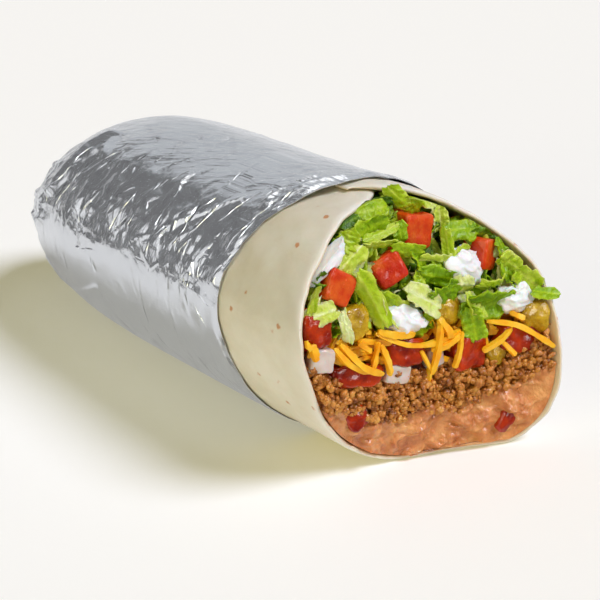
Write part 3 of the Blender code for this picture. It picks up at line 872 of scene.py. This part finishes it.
SALSA_TOMATOES = (
    ("salsa_tomato_1", -35.0, 46.2, 8.6, 9.0, 7.0, -4, 1.6, 0, 0, 6),
    ("salsa_tomato_2", -22.6, 30.6, 15.0, 6.0, 6.0, -10, 1.8, 0, 0, 5),
    ("salsa_tomato_3", -6.6, 33.0, 11.4, 7.6, 6.0, -12, 1.8, 0, 0, 5),
    ("salsa_tomato_4", 12.6, 28.9, 10.2, 9.0, 7.0, -4, 2.2, 0, 0, 6),
    ("salsa_tomato_5", 27.6, 30.2, 13.0, 7.6, 6.0, -18, 1.8, 0, 0, 5),
)
BEAN_TOMATOES = (
    ("bean_tomato_1", -21.2, 17.8, 6.2, 6.2, 5.0, 20, 1.5, 0, 0, 5),
    ("bean_tomato_2", 23.6, 9.4, 4.8, 10.4, 5.0, -30, 2.6, 0, 0, 4),
)
ONIONS = (
    ("onion_dice_1", -34.2, 38.2, 6.8, 6.2, 6.0, -14, 1.8, 0, 0, 9),
    ("onion_dice_2", 2.4, 29.6, 4.8, 5.6, 4.5, 8, 1.4, 0, 0, 6),
    ("onion_dice_3", -9.6, 27.8, 8.0, 5.0, 5.0, -16, 1.6, 0, 0, 7),
)


def make_blocks(rows, look, unevenness, seed, hollow=0.0):
    """Cut blocks lying in the filling, one piece each."""
    for index, (name, x, z, wide, tall, deep, turn, out, nod, swing, boxy) in enumerate(rows):
        bm = bmesh.new()
        sides = Vector((wide, deep, tall)) * MM
        place = seat(x, z, out - deep / 2.0, turn, nod, swing)
        number = seed + index
        for vert in new_block(bm, 13):
            unit = vert.co * 2.0
            bulk = sum(abs(part) ** boxy for part in unit) ** (1.0 / boxy)
            unit = unit * (max(abs(part) for part in unit) / bulk)
            second = sorted(abs(part) for part in unit)[1]
            unit *= 1.0 - hollow * max(0.0, 1.0 - second) ** 2
            unit.x *= 1.0 + 0.06 * wobble((unit.z, number, 0.0), 2.5, number)
            unit.z *= 1.0 + 0.06 * wobble((unit.x, number, 5.0), 2.5, number)
            point = Vector((unit.x * sides.x, unit.y * sides.y, unit.z * sides.z)) / 2.0
            point += point.normalized() * unevenness * MM * (
                wobble(point, 0.0032, number) + 0.35 * wobble(point, 0.0011, number)
            )
            vert.co = kept_inside(place @ point, 0.0003)
        finish_piece(name + "_cut", bm, look, [name])


def make_cream():
    """Drops of sour cream with soft torn peaks, one piece each."""
    look = cream_finish()
    for index, (name, x, z, wide, tall, deep, turn, out) in enumerate(CREAM_DROPS):
        bm = bmesh.new()
        place = seat(x, z, out - deep / 2.0, turn)
        ball = bmesh.ops.create_icosphere(bm, subdivisions=5, radius=0.5)["verts"]
        for vert in ball:
            unit = vert.co * 2.0
            ridges = 1.0 - abs(wobble(unit, 0.62, index + 30)) * 2.2
            swell = 1.0 + 0.34 * wobble(unit, 0.9, index + 10) + 0.20 * ridges * abs(ridges)
            swell += 0.07 * wobble(unit, 0.25, index + 20)
            point = Vector((unit.x * wide, unit.y * deep, unit.z * tall)) * swell * MM / 2.0
            vert.co = kept_inside(place @ point, 0.0003)
        finish_piece(name + "_drop", bm, look, [name])


def tomato_finish():
    fixed = {
        "Specular IOR Level": 0.2, "Coat Weight": 0.3, "Coat Roughness": 0.05,
        "Subsurface Weight": 0.45, "Subsurface Scale": 0.004,
        "Subsurface Radius": (1.0, 0.25, 0.08),
    }
    look = Finish("fresh tomato", fixed)
    base = look.ramp(
        look.noise(0.005, 3.0, 0.55),
        (0.32, (0.52, 0.016, 0.001)), (0.5, (0.63, 0.052, 0.003)), (0.7, (0.72, 0.13, 0.010)),
    )
    look.feed("Base Color", base)
    look.feed("Roughness", 0.22 + 0.3 * look.noise(0.0012, 2.0))
    wet = 1.0 - look.cells(0.0009).step(0.15, 0.5)
    relief = look.bump(look.noise(0.0016, 3.0), 0.0004, 0.4)
    look.feed("Normal", look.bump(wet, 0.00012, 0.5, relief))
    return look.material


def cream_finish():
    fixed = {
        "Base Color": (0.84, 0.84, 0.82, 1.0), "Roughness": 0.35,
        "Subsurface Weight": 0.4, "Subsurface Scale": 0.001, "Coat Weight": 0.1, "Coat Roughness": 0.2,
    }
    look = Finish("sour cream", fixed)
    look.feed("Normal", look.bump(look.noise(0.0014, 3.0), 0.0005, 0.35))
    return look.material


def chile_finish():
    fixed = {
        "Specular IOR Level": 0.3, "Coat Weight": 0.6, "Coat Roughness": 0.05,
        "Subsurface Weight": 0.5, "Subsurface Scale": 0.004, "Subsurface Radius": (1.0, 0.8, 0.15),
    }
    look = Finish("green chile", fixed)
    base = look.ramp(
        look.noise(0.005, 3.0, 0.6),
        (0.30, (0.27, 0.13, 0.002)), (0.5, (0.50, 0.30, 0.005)), (0.7, (0.72, 0.46, 0.02)),
    )
    look.feed("Base Color", base)
    look.feed("Roughness", 0.14 + 0.25 * look.noise(0.002, 2.0))
    look.feed("Normal", look.bump(look.noise(0.0014, 3.0), 0.0009, 0.7))
    return look.material


def salsa_tomato_finish():
    fixed = {
        "Specular IOR Level": 0.2, "Coat Weight": 0.6, "Coat Roughness": 0.03,
        "Subsurface Weight": 0.3, "Subsurface Scale": 0.002, "Subsurface Radius": (1.0, 0.2, 0.08),
    }
    look = Finish("salsa tomato", fixed)
    base = look.ramp(
        look.noise(0.0055, 3.0, 0.55), (0.35, (0.24, 0.008, 0.001)), (0.65, (0.52, 0.040, 0.002))
    )
    look.feed("Base Color", base)
    look.feed("Roughness", 0.10 + 0.2 * look.noise(0.002, 2.0))
    look.feed("Normal", look.bump(look.noise(0.0024, 3.0), 0.0012, 0.6))
    return look.material


def onion_finish():
    fixed = {
        "Roughness": 0.22, "Coat Weight": 0.5, "Coat Roughness": 0.08,
        "Subsurface Weight": 0.6, "Subsurface Scale": 0.004,
    }
    look = Finish("onion", fixed)
    base = look.ramp(look.noise(0.006, 2.0), (0.35, (0.56, 0.40, 0.30)), (0.65, (0.70, 0.60, 0.53)))
    look.feed("Base Color", base)
    layers = look.noise(0.0012, 2.0, 0.5, look.mapped(look.place, stretch=(1.0, 1.0, 0.25)))
    look.feed("Normal", look.bump(layers, 0.0004, 0.4))
    return look.material


# ---- shredded cheese ----
# The strands in front: width and thickness, then points x, z and out, in mm.
STRANDS = (
    (1.8, 1.4, ((-17.0, 41.0, 1.5), (-8.5, 36.4, 2.8), (0.0, 34.9, 2.8), (9.3, 36.0, 1.5))),
    (2.4, 1.3, ((-16.5, 41.6, 2.0), (-11.0, 39.6, 2.9), (-5.0, 38.2, 2.0))),
    (2.4, 1.5, ((4.2, 40.6, 1.5), (1.6, 36.6, 3.4), (0.6, 31.8, 3.2), (-0.6, 26.4, 2.6))),
    (1.9, 1.4, ((9.2, 36.0, 2.2), (7.8, 31.2, 2.8), (6.4, 26.6, 2.4))),
    (1.9, 1.4, ((14.6, 29.8, 2.8), (19.5, 32.2, 3.4), (24.0, 34.6, 2.4))),
    (2.0, 1.5, ((17.0, 37.2, 2.0), (24.5, 35.4, 3.2), (31.0, 31.0, 3.0), (36.0, 27.2, 1.4))),
    (1.7, 1.3, ((21.0, 31.0, 2.2), (24.0, 27.0, 2.8))),
    (2.1, 1.6, ((-29.2, 41.6, 1.8), (-24.4, 35.6, 3.2), (-20.4, 32.6, 3.2), (-16.0, 30.4, 2.8))),
    (1.9, 1.4, ((-31.0, 40.8, 1.4), (-26.4, 35.4, 2.8), (-18.4, 31.2, 2.0))),
    (1.8, 1.3, ((-16.4, 38.8, 1.8), (-18.9, 32.6, 2.4))),
    (1.8, 1.4, ((-15.8, 38.0, 2.2), (-14.6, 33.5, 2.8), (-13.2, 29.0, 2.4))),
    (2.4, 1.7, ((-38.2, 44.2, 1.6), (-37.6, 39.8, 2.2))),
    (1.8, 1.4, ((-40.6, 45.4, 1.2), (-38.8, 43.0, 1.8))),
    (1.2, 1.0, ((-3.4, 33.4, 2.0), (-0.4, 27.0, 2.4))),
    (1.9, 1.4, ((-22.6, 40.2, 1.6), (-19.6, 37.0, 2.4))),
    (2.2, 1.3, ((-0.4, 33.0, 2.4), (4.0, 33.6, 3.0), (8.6, 35.4, 2.4))),
    (1.9, 1.5, ((24.2, 38.6, 2.0), (27.6, 36.2, 2.6))),
    (2.6, 1.5, ((2.4, 40.6, 2.4), (4.6, 37.4, 3.0), (5.2, 35.0, 2.6))),
)
DEEP_STRANDS = 90


def curve_point(points, share):
    """A point at a share of the way along a smooth curve through the points."""
    place = share * (len(points) - 1)
    step = min(int(place), len(points) - 2)
    t = place - step
    before = points[max(step - 1, 0)]
    first, second = points[step], points[step + 1]
    after = points[min(step + 2, len(points) - 1)]
    bend = (second - before) * 0.5
    leave = (after - first) * 0.5
    return (
        first * (2 * t**3 - 3 * t**2 + 1) + bend * (t**3 - 2 * t**2 + t)
        + second * (3 * t**2 - 2 * t**3) + leave * (t**3 - t**2)
    )


def shape_strand(verts, points, wide, thick, twist, rng):
    """A strand of grated cheese, square in section and uneven, along a curve."""
    seed = rng.uniform(0.0, 50.0)
    for vert in verts:
        share, across, over = vert.co.x + 0.5, vert.co.y, vert.co.z
        at = curve_point(points, share)
        ahead = (curve_point(points, min(share + 0.02, 1.0)) - curve_point(points, max(share - 0.02, 0.0)))
        side = ahead.cross(Vector((0.0, -1.0, 0.0))).normalized()
        up = ahead.cross(side).normalized()
        angle = twist * (share - 0.5)
        turned = side * math.cos(angle) + up * math.sin(angle)
        raised = up * math.cos(angle) - side * math.sin(angle)
        slim = 1.0 + 0.34 * noise.noise((share * 6.0, seed, 0.0))
        slim *= 1.0 - 0.45 * abs(2.0 * share - 1.0) ** 6
        vert.co = kept_inside(at + turned * across * wide * slim + raised * over * thick * slim, 0.0003)


def make_cheese():
    rng = random.Random(37)
    bm = bmesh.new()
    slabs = alike(bm, len(STRANDS) + DEEP_STRANDS, new_slab, 12, 1)
    for verts, (wide, thick, places) in zip(slabs, STRANDS):
        points = [on_face(*place) for place in places]
        shape_strand(verts, points, 0.74 * wide * MM, 0.85 * thick * MM, rng.uniform(-1.2, 1.2), rng)
    for verts in slabs[len(STRANDS):]:
        x = rng.uniform(-0.038, 0.034)
        z = blend(level(SALSA_TOP, x) - 0.004, level(CHEESE_TOP, x) + 0.002, rng.random())
        turn = rng.gauss(0.0, 0.9)
        half = rng.uniform(0.003, 0.0075)
        out = rng.uniform(-3.6, 0.6)
        points = []
        for share in (-1.0, 0.0, 1.0):
            run_x = x + share * half * math.cos(turn) + rng.uniform(-0.001, 0.001)
            run_z = z + share * half * math.sin(turn) + rng.uniform(-0.001, 0.001)
            left, right = wall_x(run_z)
            run_x = min(max(run_x, left + 0.002), right - 0.002)
            points.append(on_face(run_x / MM, run_z / MM, out + rng.uniform(-0.8, 0.8)))
        shape_strand(verts, points, rng.uniform(0.0009, 0.0017), rng.uniform(0.0008, 0.0013), rng.uniform(-2, 2), rng)
    return finish_piece("cheese_strands", bm, cheese_finish(), (), 40)


def cheese_finish():
    fixed = {
        "Roughness": 0.38, "Specular IOR Level": 0.3, "Coat Weight": 0.15, "Coat Roughness": 0.15,
        "Subsurface Weight": 0.3, "Subsurface Scale": 0.0012, "Subsurface Radius": (1.0, 0.55, 0.12),
    }
    look = Finish("yellow cheese", fixed)
    base = look.ramp(
        look.noise(0.004, 3.0), (0.3, (0.90, 0.37, 0.005)), (0.55, (0.98, 0.50, 0.015)), (0.8, (0.99, 0.60, 0.06))
    )
    look.feed("Base Color", base)
    look.feed("Normal", look.bump(look.noise(0.0009, 3.0), 0.0004, 0.4))
    return look.material


# ---- lettuce ----
# The shreds in front: place x and z, length, width, turn, how far out, roll about the length, and
# shade from 0 for the pale rib to 1 for deep green.
SHREDS = (
    (-8.8, 71.0, 11.0, 4.0, -3, 0.4, 35, 0.80),
    (1.1, 70.2, 9.5, 5.0, -50, 3.2, 25, 0.45),
    (8.0, 68.4, 8.0, 4.6, -42, 2.0, -30, 0.20),
    (-10.8, 70.0, 10.0, 5.0, -4, 1.4, -25, 0.42),
    (-13.8, 66.2, 11.0, 7.0, 22, 1.6, 20, 0.45),
    (-19.0, 68.6, 6.0, 4.0, 14, 0.0, -40, 0.75),
    (-21.6, 65.4, 6.5, 6.0, -105, 2.0, 25, 0.35),
    (-23.0, 60.4, 11.5, 5.6, 38, 2.2, -20, 0.22),
    (-12.2, 62.6, 10.0, 3.4, -6, 2.8, 50, 0.30),
    (-10.8, 64.6, 10.5, 3.0, 14, 2.2, -45, 0.32),
    (-5.2, 63.8, 6.0, 4.0, -86, 3.4, 15, 0.50),
    (-4.2, 59.6, 10.5, 5.0, -9, 3.8, 30, 0.42),
    (-1.5, 57.0, 8.0, 4.5, -64, 2.6, -30, 0.50),
    (4.6, 55.2, 11.0, 4.0, -10, 2.6, 40, 0.22),
    (6.5, 53.2, 8.0, 4.6, -40, 1.6, -30, 0.50),
    (3.8, 51.4, 12.0, 5.5, -20, 2.4, 20, 0.55),
    (-0.1, 50.4, 7.5, 5.5, -76, 1.8, -25, 0.36),
    (5.6, 47.0, 9.5, 6.5, 17, 2.6, 20, 0.55),
    (-1.7, 46.9, 12.5, 6.5, -32, 3.0, -15, 0.12),
    (-10.6, 47.4, 10.5, 4.6, -30, 2.2, 35, 0.34),
    (-18.0, 50.5, 17.5, 5.8, -68, 2.8, 30, 0.34),
    (-13.4, 46.0, 10.0, 3.0, -67, 2.6, -50, 0.18),
    (-36.6, 54.8, 7.0, 3.0, -100, 1.4, 45, 0.32),
    (-34.2, 50.8, 9.0, 5.2, 4, 2.0, -20, 0.16),
    (-27.6, 45.6, 9.0, 2.8, -80, 3.0, 20, 0.05),
    (-1.0, 40.0, 9.0, 6.0, 34, 1.6, 20, 0.45),
    (10.0, 64.4, 6.5, 4.0, -88, 1.6, 20, 0.22),
    (14.3, 60.6, 11.0, 5.6, -4, 2.0, -25, 0.50),
    (9.3, 58.8, 8.5, 3.2, -88, 2.8, 40, 0.34),
    (12.9, 57.4, 7.5, 4.6, 5, -1.0, 20, 0.85),
    (13.1, 55.9, 5.0, 2.8, 20, 2.4, 30, 0.30),
    (22.6, 58.2, 9.0, 4.2, -18, 0.8, 30, 0.75),
    (26.8, 53.4, 8.5, 4.4, -59, 0.6, -30, 0.55),
    (26.4, 51.2, 8.0, 5.2, -33, 2.4, 25, 0.30),
    (26.2, 47.8, 7.5, 5.2, -38, 1.6, -20, 0.50),
    (30.6, 46.6, 10.0, 6.0, -42, 2.0, 20, 0.32),
    (34.4, 42.2, 9.0, 3.4, -14, 2.8, -20, 0.45),
    (11.8, 47.9, 6.5, 5.0, -10, 2.6, 20, 0.12),
    (17.4, 42.4, 13.5, 9.0, -9, 2.4, 20, 0.55),
    (20.0, 46.3, 8.5, 3.6, -4, 3.2, 45, 0.32),
    (12.4, 37.8, 9.5, 6.0, -81, 2.8, 30, 0.48),
    (13.4, 42.3, 7.0, 5.4, -31, 3.0, -25, 0.26),
    (-2.6, 72.0, 8.5, 4.5, -50, 3.4, 25, 0.36),
)
DEEP_SHREDS = 190
PROUD_SHREDS = (36, 42)  # the leaf tips that reach past the tortilla's rim


def shape_shred(bm, verts, place, long, wide, shade, number, limit):
    """Makes a thin slab a shred of leaf: folded along its rib, slant cut, torn and ruffled.

    With a limit it stays inside the tortilla, and no further than that in front of the face.
    """
    layer = bm.verts.layers.float["shade"]
    rib_at = 0.5 * wobble((number, 0.3, 0.0), 1.7, 1)
    fold = 0.9 * wobble((number, 2.3, 0.0), 1.3, 8)
    bend = 1.3 * wobble((number, 5.3, 0.0), 1.9, 2)
    slant = 1.4 * wobble((number, 8.3, 0.0), 1.5, 9)
    for vert in verts:
        along, across, over = vert.co * 2.0
        off_rib = abs(across - rib_at)
        torn = 1.0 + 0.30 * wobble((along, number, across), 0.5, 3) * abs(across)
        torn += 0.12 * wobble((along, number, across), 0.16, 10) * abs(across) ** 3
        ends = 1.0 - 0.35 * abs(along) ** 6
        x = along * long / 2.0 * (1.0 + 0.20 * wobble((across, number, 0.0), 0.45, 4) * abs(along))
        x += slant * across * wide / 2.0 * 0.5
        z = across * wide / 2.0 * torn * ends
        ruffle = 0.24 * wide * wobble((along, number, across * 0.4), 0.30, 5) * abs(across) ** 1.5
        crinkle = 0.10 * wide * wobble((along * 1.6, number, across), 0.34, 6)
        lift = fold * wide * 0.6 * (math.sqrt(off_rib * off_rib + 0.01) - 0.1)
        lift += bend * long * 0.22 * along * along
        rib = math.exp(-((off_rib / 0.13) ** 2))
        thick = 0.00040 * (1.0 - 0.5 * abs(across) ** 3) + 0.0003 * rib
        vert[layer] = shade - 0.14 * rib + 0.10 * wobble((along, number, across), 0.8, 7)
        vert[layer] -= 0.14 * abs(across) ** 5
        point = place @ Vector((x, -lift - ruffle - crinkle + over * thick / 2.0, z))
        if limit is not None:
            point = kept_inside(point, 0.0004)
            point.y = max(point.y, face_y(point.x, point.z) - limit)
        vert.co = point


def make_lettuce():
    rng = random.Random(41)
    bm = bmesh.new()
    bm.verts.layers.float.new("shade")
    slabs = alike(bm, len(SHREDS), new_slab, 26, 12)
    for number, (x, z, long, wide, turn, out, roll, shade) in enumerate(SHREDS):
        place = seat(x, z, out, turn + rng.gauss(0.0, 3.0)) @ Matrix.Rotation(math.radians(roll), 4, "X")
        limit = None if number in PROUD_SHREDS else 0.008
        shape_shred(bm, slabs[number], place, long * MM, wide * MM, shade, number, limit)
    for number, verts in enumerate(alike(bm, DEEP_SHREDS, new_slab, 9, 4)):
        z = left = right = x = 0.0
        while not left + 0.003 < x < right - 0.003:
            x = rng.uniform(-0.040, 0.036)
            z = blend(level(CHEESE_TOP, x) + 0.001, 0.0715, rng.random())
            left, right = wall_x(z)
        long, wide = rng.uniform(0.007, 0.013), rng.uniform(0.0032, 0.006)
        out, turn = rng.uniform(-5.5, 0.6), rng.uniform(-180.0, 180.0)
        roll, nod = rng.gauss(0.0, 40.0), rng.gauss(0.0, 22.0)
        shade = rng.choice((0.12, 0.34, 0.45, 0.55, 0.7, 0.8))
        place = seat(x / MM, z / MM, out, turn, 0.0, nod) @ Matrix.Rotation(math.radians(roll), 4, "X")
        shape_shred(bm, verts, place, long, wide, shade, number + 100, 0.0012)
    return finish_piece("lettuce_shreds", bm, lettuce_finish("lettuce"))


def lettuce_finish(name):
    fixed = {
        "Specular IOR Level": 0.25, "Coat Weight": 0.1, "Coat Roughness": 0.1,
        "Subsurface Weight": 0.3, "Subsurface Scale": 0.0012, "Subsurface Radius": (0.6, 1.0, 0.1),
    }
    look = Finish(name, fixed)
    # The heart has no shade attribute and is given a deep green all over: painted shade behind the shreds.
    shade = look.attribute("shade") if name == "lettuce" else 0.75 + 0.2 * look.noise(0.004)
    shade = shade + 0.22 * (look.noise(0.0035, 3.0) - 0.5)
    base = look.ramp(
        shade,
        (0.02, (0.72, 0.78, 0.36)), (0.16, (0.56, 0.66, 0.08)), (0.34, (0.38, 0.53, 0.004)),
        (0.52, (0.20, 0.36, 0.002)), (0.75, (0.06, 0.15, 0.001)), (0.98, (0.012, 0.04, 0.001)),
    )
    look.feed("Base Color", base)
    look.feed("Roughness", 0.28 + 0.25 * look.noise(0.003, 2.0))
    veins = look.cells(0.0022, "DISTANCE_TO_EDGE").step(0.0, 0.16)
    relief = look.bump(veins, 0.00025, 0.35)
    look.feed("Normal", look.bump(look.noise(0.0011, 3.0), 0.0005, 0.45, relief))
    return look.material


# ---- stage, light and camera ----
FLOOR_RADIUS = 6.0
FLOOR_GLOW = (0.150, 0.134, 0.064)  # lightens the shadow on the floor
MIRRORED_GLOW = (0.150, 0.150, 0.190)  # the same, as the foil shows it
# Each lamp is its azimuth, height and width in degrees, then its strength in red, green and blue.
LAMPS = {
    "key": (-61.0, 51.0, 26.0, (2.48, 2.53, 3.02)),
    "side": (-165.0, 15.0, 40.0, (0.81, 0.77, 0.45)),
}
FILL = (0.18, 0.169, 0.12)
BACKDROP = (0.922, 0.905, 0.888)
# Each bright panel of the studio is the way towards it, its edge and its brightness.
PANELS = (
    ((-0.60, -0.42, 0.68), 0.972, 9.0),
    ((0.168, -0.956, 0.242), 0.986, 10.0),
    ((0.0, 0.0, 1.0), 0.910, 1.7),
)


def make_stage():
    bm = bmesh.new()
    bmesh.ops.create_circle(bm, cap_ends=True, segments=64, radius=FLOOR_RADIUS)
    mesh = bpy.data.meshes.new("floor")
    bm.to_mesh(mesh)
    bm.free()
    floor = bpy.data.objects.new("floor", mesh)
    bpy.context.scene.collection.objects.link(floor)
    look = Finish("floor", {"Roughness": 1.0, "Specular IOR Level": 0.0, "Emission Strength": 1.0})
    # As the foil mirrors it, the floor gets a darker base and its own glow: a painted reflection in the foil.
    glossy = look.node("ShaderNodeLightPath", output="Is Glossy Ray")
    look.feed("Base Color", look.mix(glossy, (0.9, 0.9, 0.9), (0.80, 0.80, 0.72)))
    look.feed("Emission Color", look.mix(glossy, FLOOR_GLOW, MIRRORED_GLOW))
    x, y = (look.node("ShaderNodeSeparateXYZ", None, {0: look.place}, part) for part in "XY")
    # Behind the roll and in front of its mouth, the mirrored floor turns to a dark glow: painted shade in the foil's
    # reflection.
    behind = (y - 2.2 * x).step(0.50, 0.62)
    before = 1.0 - y.step(-0.105, -0.088)
    dark = look.node("ShaderNodeEmission", None, {"Color": (0.12, 0.12, 0.12, 1.0)})
    lit = Shade(look, look.surface.outputs[0])
    painted_dark_reflection = (behind + before) * glossy
    surface = look.node("ShaderNodeMixShader", None, {0: painted_dark_reflection, 1: lit, 2: dark})
    look.tree.links.new(surface.socket, look.tree.nodes["Material Output"].inputs["Surface"])
    mesh.materials.append(look.material)


def make_light():
    for name, (azimuth, height, width, strength) in LAMPS.items():
        lamp = bpy.data.lights.new(name, "SUN")
        lamp.energy = max(strength)
        lamp.angle = math.radians(width)
        lamp.color = [part / max(strength) for part in strength]
        placed = bpy.data.objects.new(name, lamp)
        bpy.context.scene.collection.objects.link(placed)
        azimuth, height = math.radians(azimuth), math.radians(height)
        flat = math.cos(height)
        towards = Vector((math.cos(azimuth) * flat, math.sin(azimuth) * flat, math.sin(height)))
        placed.rotation_euler = towards.to_track_quat("Z", "Y").to_euler()

    world = bpy.data.worlds.new("studio")
    bpy.context.scene.world = world
    world.use_nodes = True
    world.cycles.sampling_method = "NONE"  # so that the fill alone lights what isn't shiny
    look = NodeTree(world.node_tree)
    direction = look.node("ShaderNodeTexCoord", output="Generated")
    x, y, z = (look.node("ShaderNodeSeparateXYZ", None, {0: direction}, part) for part in "XYZ")
    patches = look.node("ShaderNodeTexNoise", None, {"Vector": direction, "Scale": 8.0, "Detail": 4.0})
    right = (x + z * 0.62 + 0.4 * (patches - 0.5)).step(0.32, 0.42)
    left = (x + 0.4 * (patches - 0.5)).step(-0.64, -0.54)
    dark = look.mix(patches.step(0.38, 0.64), (0.10, 0.10, 0.10), (0.27, 0.27, 0.275))
    light = look.mix(patches.step(0.36, 0.64), (0.44, 0.46, 0.48), (0.68, 0.70, 0.72))
    back = look.mix(left, (1.0, 1.0, 1.01), dark)
    back = look.mix(right, back, light)
    studio = look.mix(y.step(-0.30, 0.0), (0.09, 0.09, 0.095), back)
    for way, edge, bright in PANELS:
        facing = look.node(
            "ShaderNodeVectorMath", {"operation": "DOT_PRODUCT"}, {0: direction, 1: way}, "Value"
        )
        studio = look.mix(facing.step(edge - 0.01, edge + 0.01), studio, (bright, bright, bright))
    studio = look.mix((z - 0.3 * x + 0.12 * (patches - 0.5)).step(0.04, 0.10), (0.80, 0.80, 0.81), studio)
    diffuse = look.node("ShaderNodeLightPath", output="Is Diffuse Ray")
    seen = look.node("ShaderNodeLightPath", output="Is Camera Ray")
    colour = look.mix(diffuse, studio, FILL)
    colour = look.mix(seen, colour, BACKDROP)
    world.node_tree.links.new(colour.socket, world.node_tree.nodes["Background"].inputs["Color"])


def make_camera():
    data = bpy.data.cameras.new("camera")
    data.lens = LENS
    data.sensor_width = 36.0
    camera = bpy.data.objects.new("camera", data)
    bpy.context.scene.collection.objects.link(camera)
    camera.location = CAMERA_AT
    towards = Vector(CAMERA_TO) - Vector(CAMERA_AT)
    camera.rotation_euler = towards.to_track_quat("-Z", "Y").to_euler()
    bpy.context.scene.camera = camera


make_foil()
make_tortilla()
make_layers()
make_crumbs()
make_blocks(TOMATO_DICE, tomato_finish(), 0.28, 3, 0.10)
make_cream()
make_blocks(CHILES, chile_finish(), 0.8, 13)
make_blocks(SALSA_TOMATOES + BEAN_TOMATOES, salsa_tomato_finish(), 0.9, 23)
make_blocks(ONIONS, onion_finish(), 0.35, 33)
make_cheese()
make_lettuce()
make_stage()
make_light()
make_camera()

view = bpy.context.scene.view_settings
view.view_transform = "Standard"
view.look = "None"
